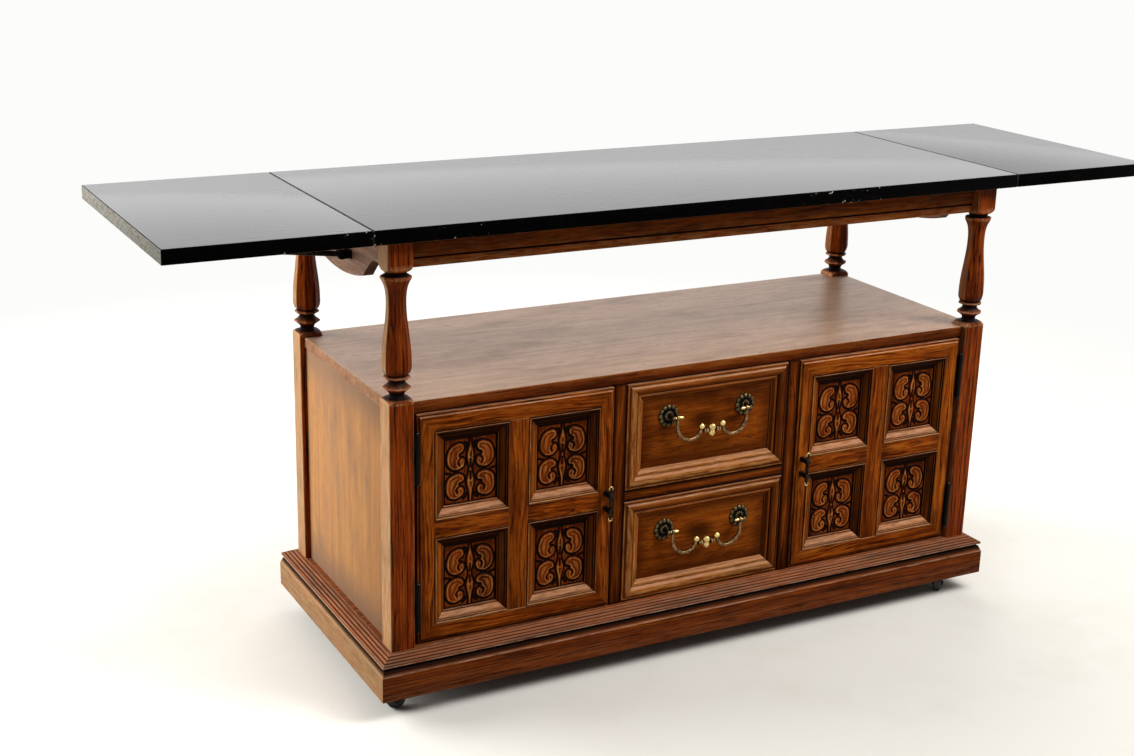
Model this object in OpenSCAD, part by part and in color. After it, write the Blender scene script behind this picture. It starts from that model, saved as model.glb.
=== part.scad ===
// Drop-leaf sideboard on casters: black laminate top with two leaves, turned posts,
// a low cabinet with two carved doors and two drawers, and a moulded plinth.
// Millimetres, +Z up, front towards -Y, origin on the floor under the middle of the piece.

/* [Top] */
// Height of the top surface above the floor
height = 800; // [770:1:860]
// Length of the fixed centre top, seam to seam
centre_len = 1219; // [1200:1:1260]
// Length of each leaf, from its seam to its outer edge
leaf_len = 311; // [305:1:340]
// Depth of the top, front to back
top_depth = 486; // [470:1:496]
// Thickness of the top boards
top_thick = 23; // [19:1:28]
// Gap between the centre top and a leaf
seam_gap = 1; // [0.8:0.1:1.5]

/* [Frame] */
// Overhang of the centre top beyond the posts at each end
top_end_over = 28.5; // [26:0.5:34]
// Overhang of the top beyond the posts at the front and back
top_front_over = 18; // [14:0.5:24]
// Width of the square stock of the posts
post_size = 41; // [39:1:44]
// Radius of the posts' long edges
post_arris = 3; // [1:0.5:5]
// Length of the square block at the head of a post
head_block = 49; // [47:1:60]
// Height of the apron rails at the front and back
rail_h = 46; // [40:1:50]
// Thickness of the apron rails at the front and back
rail_thick = 20; // [16:1:24]
// Setback of the apron rails behind the faces of the posts
rail_recess = 14; // [8:1:16]
// Thickness of the shaped aprons at the ends
apron_thick = 17; // [14:1:20]
// Setback of the end aprons behind the outer faces of the posts
apron_recess = 7; // [4:1:8]
// Drop of the end aprons at their lowest point, below the top boards
apron_drop = 93; // [84:1:100]

/* [Turned posts] */
// Height of the square shoulder of a post above the cabinet top
shoulder_rise = 8; // [6:1:12]
// Width across flats of the collar under the head block
collar_w = 43; // [40:1:45]
// Width across flats of the slim waist
waist_w = 27; // [22:1:32]
// Width across flats of the swelling
bulb_w = 41.5; // [36:0.5:44]
// Width across flats of the small ring under the swelling
ring_w = 38.5; // [34:0.5:42]
// Width across flats of the sharp disc above the shoulder
disc_w = 41; // [36:1:44]
// Width across flats of the two narrow necks
neck_w = 24; // [20:1:28]

/* [Cabinet] */
// Height of the cabinet top's upper surface above the floor
cabinet_z = 520; // [515:1:530]
// Thickness of the cabinet top
cabinet_thick = 18; // [15:1:22]
// Setback of the cabinet top's front edge behind the faces of the posts
cabinet_recess = 11; // [8:1:14]
// Setback of the cabinet top's end edges behind the outer faces of the posts
cabinet_end_recess = 8; // [6:1:9]
// Thickness of the side panels
side_thick = 12; // [9:1:16]
// Setback of the side panels behind the outer faces of the posts
side_recess = 10; // [10:1:14]
// Thickness of the back panel
back_thick = 6; // [4:1:10]
// Thickness of the two upright partitions
partition_thick = 16; // [12:1:18]
// Thickness of the loose shelves inside
inner_shelf_thick = 14; // [12:1:18]
// Height of the loose shelves above the base panel
inner_shelf_up = 191; // [150:1:230]
// Radius of the shelf pins
shelf_pin_r = 2.5; // [2:0.5:3.5]
// Length of a shelf pin that stands out of its panel
shelf_pin_len = 8; // [6:1:12]

/* [Plinth] */
// Height of the base panel's upper surface above the floor
base_z = 109; // [106:1:116]
// Thickness of the base panel
base_thick = 18; // [15:1:20]
// Reach of the plinth beyond the outer faces of the posts
plinth_reach = 26; // [24:1:30]
// Gap between the floor and the underside of the plinth
plinth_clear = 37; // [35:1:42]
// Thickness of the plinth boards
plinth_thick = 20; // [16:1:23]
// Height of the bevel along the top of the plinth boards
plinth_bevel_h = 11; // [8:1:14]
// Setback of the bevel at its top
plinth_bevel_in = 5; // [3:1:8]
// Height of the dark groove between plinth and moulding
groove_h = 4; // [3:0.5:5]
// Number of reeds on the base moulding
reed_count = 4; // [3:1:6]
// Side of the square blocks in the corners of the plinth
corner_block = 70; // [64:1:80]
// Width and height of the cleats inside the plinth
cleat_size = 18; // [14:1:22]

/* [Doors] */
// Setback of the door and drawer fronts behind the faces of the posts
front_recess = 5; // [4:1:10]
// Thickness of the doors
door_thick = 20; // [18:1:22]
// Gap between a door and its post
door_post_gap = 7; // [6:0.5:8]
// Gap between the fronts, the stiles and the rail between the drawers
front_gap = 2; // [1.5:0.5:3]
// Gap between the fronts and the base panel
front_bottom_gap = 4; // [2:1:5]
// Gap between the fronts and the underside of the cabinet top
front_top_gap = 3; // [2:1:6]
// Width of the door stiles on the hinge side
door_stile = 28.5; // [24:0.5:32]
// Width of the door stiles on the handle side
lock_stile = 25.5; // [22:0.5:30]
// Width of the upright between the door openings
door_muntin = 33; // [26:1:38]
// Height of the top rail of a door
door_top_rail = 30; // [26:1:38]
// Height of the middle rail of a door
door_mid_rail = 30; // [24:1:36]
// Height of the bottom rail of a door
door_bottom_rail = 27; // [20:1:34]
// Width of the sloped moulding around each carved tile
bevel_w = 19.5; // [16:0.5:24]
// Depth of the carved tiles behind the face of the door
tile_depth = 10; // [7:1:12]
// Thickness of the carved tiles
tile_thick = 7; // [5:1:8]

/* [Drawers] */
// Width of the drawer fronts
drawer_w = 317; // [300:1:340]
// Height of the upper drawer front above that of the lower one
upper_front_more = 6; // [0:1:10]
// Width of the upright stiles beside the drawers
stile_w = 22; // [18:1:28]
// Thickness of the stiles and of the rail between the drawers
stile_thick = 18; // [15:1:20]
// Setback of the stiles behind the drawer fronts
stile_recess = 4; // [2:1:5]
// Height of the rail between the drawers
drawer_rail_h = 18; // [14:1:24]
// Width of the moulded frame on a drawer front
drawer_mould_w = 32; // [28:1:38]
// Depth of the drawer field behind its moulded frame
field_depth = 9; // [6:1:11]
// Thickness of the sides and back of a drawer box
box_wall = 12; // [10:1:14]
// Thickness of the bottom of a drawer box
box_bottom = 5; // [4:1:8]
// Length of a drawer box behind its front
box_len = 380; // [340:1:385]
// Gap between a drawer box and its partition on each side
box_side_gap = 12; // [10:1:14]
// Height of the drawer runners
runner_h = 14; // [12:1:16]
// Width of the drawer runners
runner_w = 22; // [20:1:24]
// Radius of the rosettes behind the bail pulls
rosette_r = 19.5; // [16:0.5:22]
// Thickness of the rosettes
rosette_thick = 5; // [3:0.5:6]
// Distance between the two rosettes of a pull
pull_span = 152; // [140:1:165]
// Height of the rosettes above the middle of the drawer front, as a share of the front's height
pull_share = 0.147; // [0.08:0.001:0.16]
// Reach of the bail's axis in front of the drawer field
bail_reach = 18; // [14:1:20]
// Radius of the bail rod
bail_rod_r = 2.8; // [2:0.1:3.2]
// Drop of the bail below its axis
bail_drop = 42; // [36:1:46]

/* [Door hardware] */
// Length of a door handle over its end balls
handle_len = 62; // [56:1:72]
// Reach of the handle bar in front of the door
handle_reach = 18; // [15:1:22]
// Radius of the handle bar
handle_bar_r = 2.6; // [2:0.1:3.2]
// Width of the square posts of a handle
handle_post_w = 7; // [6:0.5:9]
// Distance between the two posts of a handle
handle_post_span = 27; // [24:1:32]
// Radius of the door hinge barrels
hinge_r = 3.6; // [3.4:0.1:4]
// Length of a door hinge
hinge_len = 80; // [70:1:90]
// Distance of the hinge axis outside the edge of the door
hinge_out = 1.5; // [1:0.5:2.5]
// Radius of the door hinge pins
hinge_pin_r = 1.5; // [1.2:0.1:2]
// Thickness of the hinge leaves
hinge_leaf = 1.1; // [0.8:0.1:1.2]
// Distance from the bottom of a door to its lower hinge
hinge_low_inset = 23; // [10:1:35]
// Distance from the top of a door to its upper hinge
hinge_high_inset = 30; // [10:1:40]

/* [Leaf hardware] */
// Radius of the leaf hinge barrels
leaf_hinge_r = 3; // [2.6:0.1:3.4]
// Radius of the leaf hinge pins
leaf_pin_r = 1.3; // [1:0.1:1.5]
// Length of a leaf hinge
leaf_hinge_len = 60; // [50:1:80]
// Distance of the leaf hinges from the front and back edges of the top
leaf_hinge_inset = 93; // [80:1:110]
// Distance of the leaf stays in front of the middle of the top
stay_front = 45; // [20:1:70]
// Radius of the stay rods
stay_rod_r = 4.5; // [3.5:0.5:5]
// Distance of the stay's axis below the top boards
stay_axis_drop = 57; // [54:1:60]
// Distance of the stay's axis outside the face of the end apron
stay_axis_out = 14; // [13:1:16]
// Length from the stay's axis to the middle of its foot
stay_len = 225; // [215:1:235]
// Radius of the round foot of a stay
stay_foot_r = 5; // [4:0.5:6]

/* [Casters] */
// Radius of the caster wheels
wheel_r = 16; // [14:0.5:16.5]
// Width of the caster wheels
wheel_w = 14; // [12:1:16]
// Offset of the wheel's axle from the swivel axis
caster_trail = 18; // [17:1:20]
// Height of a whole caster
caster_h = 49; // [47:1:52]
// Distance of a swivel axis from the end face of the plinth
caster_in_x = 58; // [54:1:64]
// Distance of a swivel axis from the front or back face of the plinth
caster_in_y = 47; // [46:1:60]
// Side of the square caster plates
caster_plate = 38; // [34:1:42]

/* [Hidden] */
$fn = 48;

// Colours
oak = [0.46, 0.24, 0.11];
oak_light = [0.66, 0.46, 0.28];
oak_dark = [0.30, 0.15, 0.07];
black_top = [0.10, 0.10, 0.11];
iron = [0.16, 0.15, 0.14];
brass = [0.72, 0.58, 0.32];
steel = [0.62, 0.62, 0.62];
rubber_black = [0.06, 0.06, 0.06];

// Clearances
slide_gap = 0.3;      // between pieces that slide or swing past each other
pin_gap = 0.05;       // around a pin in its bore
joint_cut = 1;        // overshoot of a cut past the face that it opens
glue_line = 0.1;      // hairline between pieces that are joined with glue or nails

// Outer faces and levels
post_x = centre_len / 2 - top_end_over;
post_y = top_depth / 2 - top_front_over;
inner_x = post_x - post_size;
inner_y = post_y - post_size;
post_cx = post_x - post_size / 2;
post_cy = post_y - post_size / 2;
top_under = height - top_thick;
plinth_x = post_x + plinth_reach;
plinth_y = post_y + plinth_reach;
plinth_top = base_z - base_thick;
cabinet_under = cabinet_z - cabinet_thick;
post_low_top = cabinet_z + shoulder_rise;
block_under = top_under - head_block;

// Fronts
front_y = -post_y + front_recess;
front_back_y = front_y + door_thick;
front_bottom = base_z + front_bottom_gap;
front_top = cabinet_under - front_top_gap;
front_h = front_top - front_bottom;
stile_in = drawer_w / 2 + front_gap;
stile_out = stile_in + stile_w;
door_in = stile_out + front_gap;
door_out = inner_x - door_post_gap;
door_w = door_out - door_in;
stile_front = front_y + stile_recess;
stile_back = stile_front + stile_thick;
partition_in = stile_in + (stile_w - partition_thick) / 2;
partition_out = partition_in + partition_thick;
back_y = inner_y + (post_size - back_thick) / 2;
side_out = post_x - side_recess;
side_in = side_out - side_thick;
cabinet_end = post_x - cabinet_end_recess;
cabinet_front = post_y - cabinet_recess;

// Drawers
lower_front_h = (front_h - drawer_rail_h - 2 * front_gap - upper_front_more) / 2;
upper_front_h = lower_front_h + upper_front_more;
upper_bottom = front_top - upper_front_h;
upper_rest_z = upper_bottom - front_gap;
drawer_rail_z = front_bottom + lower_front_h + front_gap;
field_y = front_y + field_depth;
box_out = partition_in - box_side_gap;
box_lift = runner_h + slide_gap;
box_head = 27;        // space kept over a drawer box
box_back_drop = 8;    // the back of a box stands lower than its sides
box_bottom_up = 4;    // the bottom board stands above the lower edge of the sides
stop_h = 18;
stop_thick = 16;

// Door openings
open_w = (door_w - door_stile - lock_stile - door_muntin) / 2;
muntin_x = door_in + lock_stile + open_w + door_muntin / 2;
open_h = (front_h - door_top_rail - door_mid_rail - door_bottom_rail) / 2;
open_low_z = front_bottom + door_bottom_rail + open_h / 2;
open_high_z = front_top - door_top_rail - open_h / 2;

// Door hinges: the barrel stands in front of the door's outer edge
hinge_x = door_out + hinge_out;
hinge_y = front_y - hinge_r - slide_gap;
hinge_low_z = front_bottom + hinge_low_inset;
hinge_high_z = front_top - hinge_high_inset - hinge_len;
knuckle = hinge_len / 3;
hinge_plate_w = 20;
finial_r = 3;
finial_out = 2;

// Magnetic catches under the stop rails, and their strikes on the doors
catch_x = door_in + 24;
catch_w = 26;
catch_h = 12;
catch_d = 14;
strike = 1.2;
strike_lap = 3;

// Door handles
handle_x = door_in + lock_stile / 2;
handle_z = (open_low_z + open_high_z) / 2;
handle_y = front_y - handle_reach;
handle_ball_r = 4;

// Bail pulls
horn_r = 2.4;
horn_len = 19;
rosette_post_r = 4;
bail_y = field_y - bail_reach;
bail_eye_r = 5.2;
bail_eye_w = 5;
bail_eye_gap = 1.5;
bail_eye_x = pull_span / 2 - rosette_post_r - bail_eye_w / 2 - bail_eye_gap;
bail_arc_out = 27;
bail_arc_in = 20.5;
bail_arc_x = bail_eye_x - bail_arc_out;
bail_ball_r = 5;
cross_rod_r = 2;
drop_rise = 13;
upper_pull_z = upper_bottom + upper_front_h * (1 / 2 + pull_share);
lower_pull_z = front_bottom + lower_front_h * (1 / 2 + pull_share);

// Leaf hinges
leaf_edge = centre_len / 2 + seam_gap;
seam_x = centre_len / 2 + seam_gap / 2;
leaf_axis_z = top_under - leaf_hinge_r - slide_gap;
leaf_hinge_y = top_depth / 2 - leaf_hinge_inset;
leaf_plate = 1.2;
leaf_plate_w = 25;
leaf_knuckle = leaf_hinge_len / 3;

// Leaf stays: the foot meets the rest plate with the leaf up and with it hanging down
apron_face = post_x - apron_recess;
stay_x = apron_face + stay_axis_out;
stay_z = top_under - stay_axis_drop;
rest_plate = 1.5;
stay_up = stay_axis_drop - rest_plate - slide_gap - stay_foot_r;
stay_hang_out = seam_x + leaf_hinge_r + slide_gap - rest_plate - slide_gap - stay_foot_r - stay_x;
stay_out = sqrt(stay_len * stay_len - stay_up * stay_up);
stay_elbow = 175;
stay_elbow_rise = 22;
stay_hub_r = 8;
stay_hub_w = 10;
stay_pin_r = 3;
stay_ear = 2.5;
stay_bracket_h = 30;
stay_turn = 90 + asin(stay_up / stay_len) - asin(stay_hang_out / stay_len);
rest_margin = 12;
rest_from = stay_out + stay_x - seam_x - rest_margin;
rest_to = sqrt(stay_len * stay_len - stay_hang_out * stay_hang_out) + leaf_axis_z - stay_z + rest_margin;
rest_plate_w = 28;

// Casters
caster_x = plinth_x - caster_in_x;
caster_y = plinth_y - caster_in_y;
caster_plate_t = 2.5;
king_r = 3;
king_head_r = 5;
king_head_t = 2;
fork_disc_r = 13;
fork_race_r = 12;
fork_sheet = 2.2;
wheel_side_gap = 0.5;
fork_over_wheel = 4;
fork_bridge_z = 2 * wheel_r + fork_over_wheel;
axle_r = 2.5;
caster_turns = [-177, -133, -150, -118];

// Cosine blend from a to b in n steps, as [half width, height] points after the first
function blend(a, b, n) = [for (i = [1 : n])
    let (t = i / n, s = (1 - cos(180 * t)) / 2)
    [a[0] + (b[0] - a[0]) * s, a[1] + (b[1] - a[1]) * t]];

// Quarter arc from a to b that starts level and ends upright
function round_over(a, b, n) = [for (i = [1 : n])
    let (t = 90 * i / n)
    [a[0] + (b[0] - a[0]) * sin(t), b[1] + (a[1] - b[1]) * cos(t)]];

// Half-round reeds side by side along the line from a to b, each with five points
function reeds(a, b, n, bulge) = [for (i = [0 : n - 1], k = [0 : 4])
    let (s = (k + 0.5) / 5, t = (i + s) / n, h = bulge * sin(180 * s), d = b - a, l = norm(d))
    [a[0] + d[0] * t - d[1] / l * h, a[1] + d[1] * t + d[0] / l * h]];

// Cuboid between two corners
module block(lo, hi) {
    translate(lo) cube(hi - lo);
}

// Both halves of something that is mirrored left to right
module both_sides() {
    children();
    mirror([1, 0, 0]) children();
}

// Square with rounded corners, as exact arcs
module rounded_square(size, r) {
    square([size - 2 * r, size], center = true);
    square([size, size - 2 * r], center = true);
    for (sx = [-1, 1], sy = [-1, 1])
        translate([sx * (size / 2 - r), sy * (size / 2 - r)]) circle(r);
}

// One straight run along X, mitred at both ends; profile is [inward, up] from the outer face
module mitred_run(len, width, profile) {
    low = min([for (p = profile) p[1]]) - joint_cut;
    high = max([for (p = profile) p[1]]) + joint_cut;
    g = glue_line / 2;
    intersection() {
        translate([-len / 2, 0, 0]) rotate([90, 0, 90]) linear_extrude(height = len) polygon(profile);
        translate([0, 0, low]) linear_extrude(height = high - low)
            polygon([[g - len / 2, 0], [len / 2 - g, 0], [len / 2 - width - g, width],
                     [width - len / 2 + g, width]]);
    }
}

// Four mitred runs around a rectangle that is w by h over its outer faces
module mitred_rect(w, h, width, profile) {
    for (a = [0, 180]) rotate([0, 0, a]) translate([0, -h / 2, 0]) mitred_run(w, width, profile);
    for (a = [90, 270]) rotate([0, 0, a]) translate([0, -w / 2, 0]) mitred_run(h, width, profile);
}

// The same, standing upright in a front: its face looks to -Y
module mitred_front(x, z, w, h, width, profile) {
    translate([x, 0, z]) rotate([90, 0, 0]) mitred_rect(w, h, width, profile);
}

// Plinth
module plinth_boards() {
    color(oak_dark) mitred_rect(2 * plinth_x, 2 * plinth_y, plinth_thick,
        [[0, plinth_clear], [0, plinth_top - plinth_bevel_h], [plinth_bevel_in, plinth_top],
         [plinth_thick, plinth_top], [plinth_thick, plinth_clear]]);
}

module plinth_blocks() {
    bx = plinth_x - plinth_thick;
    by = plinth_y - plinth_thick;
    cx = corner_block - bx + glue_line;
    cy = corner_block - by + glue_line;
    color(oak_light) {
        for (sx = [0, 1], sy = [0, 1]) mirror([sx, 0, 0]) mirror([0, sy, 0])
            block([bx - corner_block, by - corner_block, caster_h], [bx, by, plinth_top]);
        for (sy = [0, 1]) mirror([0, sy, 0])
            block([cx, by - cleat_size, plinth_top - cleat_size], [-cx, by, plinth_top]);
        both_sides() block([bx - cleat_size, cy, plinth_top - cleat_size], [bx, -cy, plinth_top]);
    }
}

module base_panel() {
    color(oak_dark) block([-post_x, -post_y, plinth_top], [post_x, post_y, base_z]);
}

module base_moulding() {
    nose = 1.5;
    nose_h = 2.5;
    nose_r = 1.2;
    tongue = 12;
    flat = 3;
    reed_bulge = 1.1;
    lip_z = plinth_top + groove_h;
    nose_top = [nose, lip_z + nose_h];
    foot = [plinth_reach - flat, base_z];
    color(oak_dark) mitred_rect(2 * plinth_x, 2 * plinth_y, plinth_reach, concat(
        [[plinth_reach, plinth_top], [tongue, plinth_top], [tongue, lip_z], [nose + nose_r, lip_z],
         [nose, lip_z + nose_r], nose_top],
        reeds(nose_top, foot, reed_count, reed_bulge),
        [[plinth_reach, base_z]]));
}

// Casters
module at_caster(i) {
    sx = i % 2 == 0 ? -1 : 1;
    sy = i < 2 ? -1 : 1;
    translate([sx * caster_x, sy * caster_y, 0]) rotate([0, 0, caster_turns[i]]) children();
}

module caster_plates() {
    color(steel) for (i = [0 : 3]) at_caster(i) {
        rotate([0, 0, -caster_turns[i]]) translate([0, 0, caster_h - caster_plate_t / 2])
            cube([caster_plate, caster_plate, caster_plate_t], center = true);
        translate([0, 0, fork_bridge_z - slide_gap - king_head_t])
            cylinder(r = king_head_r, h = king_head_t);
        translate([0, 0, fork_bridge_z - king_head_t]) cylinder(r = king_r, h = caster_h - fork_bridge_z);
    }
}

module caster_fork(i) {
    leg_in = wheel_w / 2 + wheel_side_gap;
    leg_half = 7;
    toe = 5;
    toe_tilt = 2;
    boss_r = 5.5;
    axle_end = 1;
    race_top = caster_h - caster_plate_t - slide_gap;
    color(iron) at_caster(i) {
        difference() {
            union() {
                translate([0, 0, fork_bridge_z]) cylinder(r = fork_disc_r, h = fork_sheet);
                translate([0, 0, fork_bridge_z + fork_sheet / 2])
                    cylinder(r = fork_race_r, h = race_top - fork_bridge_z - fork_sheet / 2);
            }
            translate([0, 0, fork_bridge_z - joint_cut]) cylinder(r = king_r + pin_gap, h = caster_h);
        }
        for (s = [-1, 1]) translate([0, s * (leg_in + fork_sheet / 2) + fork_sheet / 2, 0])
            rotate([90, 0, 0]) linear_extrude(height = fork_sheet) {
                polygon([[-leg_half, fork_bridge_z + fork_sheet], [leg_half, fork_bridge_z + fork_sheet],
                         [caster_trail + toe, wheel_r + toe_tilt], [caster_trail - toe, wheel_r - toe_tilt]]);
                translate([caster_trail, wheel_r]) circle(boss_r);
            }
        translate([caster_trail, leg_in + fork_sheet + axle_end, wheel_r]) rotate([90, 0, 0])
            cylinder(r = axle_r, h = 2 * (leg_in + fork_sheet + axle_end));
    }
}

module caster_wheel(i) {
    rim = 2;
    band = 3;
    dish = 1.5;
    hub_r = 6;
    hw = wheel_w / 2;
    bore_r = axle_r + pin_gap;
    color(rubber_black) at_caster(i) translate([caster_trail, 0, wheel_r]) rotate([90, 0, 0])
        rotate_extrude() polygon([[bore_r, -hw], [hub_r, -hw], [hub_r + 1, dish - hw],
            [wheel_r - band - 1, dish - hw], [wheel_r - band, -hw], [wheel_r - rim, -hw],
            [wheel_r, rim - hw], [wheel_r, hw - rim], [wheel_r - rim, hw], [wheel_r - band, hw],
            [wheel_r - band - 1, hw - dish], [hub_r + 1, hw - dish], [hub_r, hw], [bore_r, hw]]);
}

// Posts: square foot, turned and faceted shaft, square head
module post_shaft() {
    bottom = post_low_top;
    top = block_under;
    disc_z = bottom + 17;
    ring_z = bottom + 33;
    bulb_z = bottom + 52;
    waist_z = top - 48;
    collar_z = top - 9;
    facet = 1 / cos(22.5) / 2;
    points = concat(
        [[0, bottom - 1], [neck_w + 3, bottom - 1], [neck_w + 3, bottom]],
        blend([neck_w + 3, bottom], [neck_w - 1, bottom + 6], 2),
        blend([neck_w - 1, bottom + 6], [disc_w - 3, disc_z - 3], 3),
        [[disc_w, disc_z], [disc_w - 3, disc_z + 2.5]],
        blend([disc_w - 3, disc_z + 2.5], [neck_w + 2, disc_z + 9], 3),
        [[ring_w - 4, ring_z - 3.5], [ring_w, ring_z - 1], [ring_w - 1, ring_z + 2],
         [ring_w - 7, ring_z + 4]],
        round_over([ring_w - 6, ring_z + 5.5], [bulb_w, bulb_z], 3),
        blend([bulb_w, bulb_z], [waist_w, waist_z], 8),
        blend([waist_w, waist_z], [collar_w - 2, collar_z - 4], 6),
        [[collar_w, collar_z], [collar_w - 2, collar_z + 3], [collar_w - 8, collar_z + 4.5],
         [post_size - 5, top - 2], [post_size - 3, top], [post_size - 3, top + 1], [0, top + 1]]);
    rotate([0, 0, 22.5]) rotate_extrude($fn = 8) polygon([for (p = points) [p[0] * facet, p[1]]]);
}

// Turned end of a square: corners rounded off over the height h, towards +Z
module turned_shoulder(h) {
    far = post_size * 0.72;
    near = post_size / 2 - 1;
    intersection() {
        linear_extrude(height = h) rounded_square(post_size, post_arris);
        rotate_extrude() polygon([[0, 0], [far, 0], [far - 1.2, h * 0.35], [far - 3.6, h * 0.68],
            [far - 6.2, h * 0.88], [near, h], [0, h]]);
    }
}

module post(sx, sy) {
    head_turn = 11;
    color(oak) translate([sx * post_cx, sy * post_cy, 0]) {
        translate([0, 0, base_z]) linear_extrude(height = cabinet_z - base_z)
            rounded_square(post_size, post_arris);
        translate([0, 0, cabinet_z]) turned_shoulder(shoulder_rise);
        post_shaft();
        translate([0, 0, block_under + head_turn]) mirror([0, 0, 1]) turned_shoulder(head_turn);
        translate([0, 0, block_under + head_turn])
            linear_extrude(height = head_block - head_turn) rounded_square(post_size, post_arris);
    }
}

// Cabinet
module side_panels() {
    color(oak_light) both_sides()
        block([side_in, -inner_y, base_z], [side_out, inner_y, cabinet_under]);
}

module back_panel() {
    color(oak_light) block([-inner_x, back_y, base_z], [inner_x, back_y + back_thick, cabinet_under]);
}

module partitions() {
    color(oak_light) both_sides()
        block([partition_in, stile_back, base_z], [partition_out, back_y, cabinet_under]);
}

module cabinet_top() {
    color(oak) translate([0, 0, cabinet_under]) linear_extrude(height = cabinet_thick) {
        square([2 * inner_x, 2 * cabinet_front], center = true);
        square([2 * cabinet_end, 2 * inner_y], center = true);
    }
}

module front_stiles() {
    color(oak) both_sides()
        block([stile_in, stile_front, base_z], [stile_out, stile_back, cabinet_under]);
}

module drawer_rail() {
    color(oak) block([-stile_in, stile_front, drawer_rail_z],
                     [stile_in, stile_back, drawer_rail_z + drawer_rail_h]);
}

module stop_rails() {
    door_space = 1;
    y0 = front_back_y + door_space;
    color(oak_light) {
        block([-partition_in, stile_back, cabinet_under - stop_h],
              [partition_in, stile_back + stop_thick, cabinet_under]);
        both_sides() block([partition_out, max(y0, stile_back), cabinet_under - stop_h],
                           [inner_x, y0 + stop_thick, cabinet_under]);
    }
}

module drawer_runners() {
    color(oak_light) both_sides() for (z = [base_z, upper_rest_z])
        block([partition_in - runner_w, stile_back, z], [partition_in, back_y, z + runner_h]);
}

module inner_shelves() {
    end_gap = 0.5;
    back_gap = 1;
    setback = 15;
    z = base_z + inner_shelf_up;
    color(oak_light) both_sides()
        block([partition_out + end_gap, -inner_y + setback, z],
              [side_in - end_gap, inner_y - back_gap, z + inner_shelf_thick]);
}

module shelf_pins() {
    front = -120;
    back = 130;
    z = base_z + inner_shelf_up - shelf_pin_r;
    color(brass) both_sides() for (y = [front, back]) {
        translate([partition_out, y, z]) rotate([0, 90, 0]) cylinder(r = shelf_pin_r, h = shelf_pin_len);
        translate([side_in - shelf_pin_len, y, z]) rotate([0, 90, 0])
            cylinder(r = shelf_pin_r, h = shelf_pin_len);
    }
}

module door_catches() {
    z = cabinet_under - stop_h;
    y0 = front_back_y + strike + slide_gap;
    color(steel) both_sides() block([catch_x - catch_w / 2, y0, z - catch_h],
                                    [catch_x + catch_w / 2, y0 + catch_d, z]);
}

// Upper frame
module apron_rails() {
    z = top_under - rail_h;
    bead = 13;
    groove = 3;
    y0 = post_y - rail_recess;
    color(oak) {
        translate([-inner_x, 0, 0]) rotate([90, 0, 90]) linear_extrude(height = 2 * inner_x)
            polygon([[-y0 + 2, z], [-y0, z + 2], [-y0, z + bead - 2], [-y0 + 2, z + bead],
                     [-y0 + 4, z + bead], [-y0 + 4, z + bead + groove], [-y0 + 0.5, z + bead + groove],
                     [-y0 + 0.5, top_under], [-y0 + rail_thick, top_under], [-y0 + rail_thick, z]]);
        block([-inner_x, y0 - rail_thick, z], [inner_x, y0, top_under]);
    }
}

// Shaped apron at each end: a step by the posts, a cove, and a long belly
module end_aprons() {
    step_z = top_under - head_block + 4;
    belly_z = top_under - apron_drop;
    step = 34;
    cove = 47;
    cove_z = belly_z + 13;
    half = inner_y;
    belly = half - step - cove;
    edge = concat([[half, step_z], [half - step, step_z]],
        [for (i = [1 : 6]) [half - step - cove * i / 6,
            step_z - (step_z - cove_z) * pow(i / 6, 1.35)]],
        [for (i = [5 : -1 : 0]) [belly * i / 6, belly_z + (cove_z - belly_z) * pow(i / 6, 2)]]);
    n = len(edge) - 1;
    outline = concat([[half, top_under]], edge, [for (i = [n - 1 : -1 : 0]) [-edge[i][0], edge[i][1]]],
        [[-half, top_under]]);
    color(oak_light) both_sides() translate([apron_face - apron_thick, 0, 0]) rotate([90, 0, 90])
        linear_extrude(height = apron_thick) polygon(outline);
}

// Top boards
module centre_top() {
    color(black_top) block([-centre_len / 2, -top_depth / 2, top_under],
                           [centre_len / 2, top_depth / 2, height]);
}

module leaf() {
    color(black_top) block([leaf_edge, -top_depth / 2, top_under],
                           [leaf_edge + leaf_len, top_depth / 2, height]);
}

// One half of a leaf hinge; the fixed half carries the two end knuckles and the pin
module leaf_hinge_half(fixed) {
    clear = leaf_hinge_r + 2 * slide_gap;
    z0 = leaf_hinge_r + slide_gap - leaf_plate;
    mid = leaf_knuckle - 2 * slide_gap;
    far = leaf_plate_w;
    difference() {
        union() {
            if (fixed) {
                for (s = [-1, 1]) {
                    translate([0, s * leaf_knuckle, 0]) rotate([90, 0, 0])
                        cylinder(r = leaf_hinge_r, h = leaf_knuckle, center = true);
                    translate([-far / 2, s * leaf_knuckle, z0 + leaf_plate / 2])
                        cube([far, leaf_knuckle, leaf_plate], center = true);
                }
                translate([-(far + clear) / 2, 0, z0 + leaf_plate / 2])
                    cube([far - clear, leaf_hinge_len, leaf_plate], center = true);
                rotate([90, 0, 0]) cylinder(r = leaf_pin_r, h = leaf_hinge_len, center = true);
            } else {
                rotate([90, 0, 0]) cylinder(r = leaf_hinge_r, h = mid, center = true);
                translate([far / 2, 0, z0 + leaf_plate / 2]) cube([far, mid, leaf_plate], center = true);
                translate([(far + clear) / 2, 0, z0 + leaf_plate / 2])
                    cube([far - clear, leaf_hinge_len, leaf_plate], center = true);
            }
        }
        if (!fixed) rotate([90, 0, 0])
            cylinder(r = leaf_pin_r + pin_gap, h = leaf_hinge_len, center = true);
    }
}

module at_leaf_hinges() {
    for (s = [-1, 1]) translate([seam_x, s * leaf_hinge_y, leaf_axis_z]) children();
}

module top_hinge_halves() {
    color(iron) both_sides() at_leaf_hinges() leaf_hinge_half(true);
}

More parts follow.
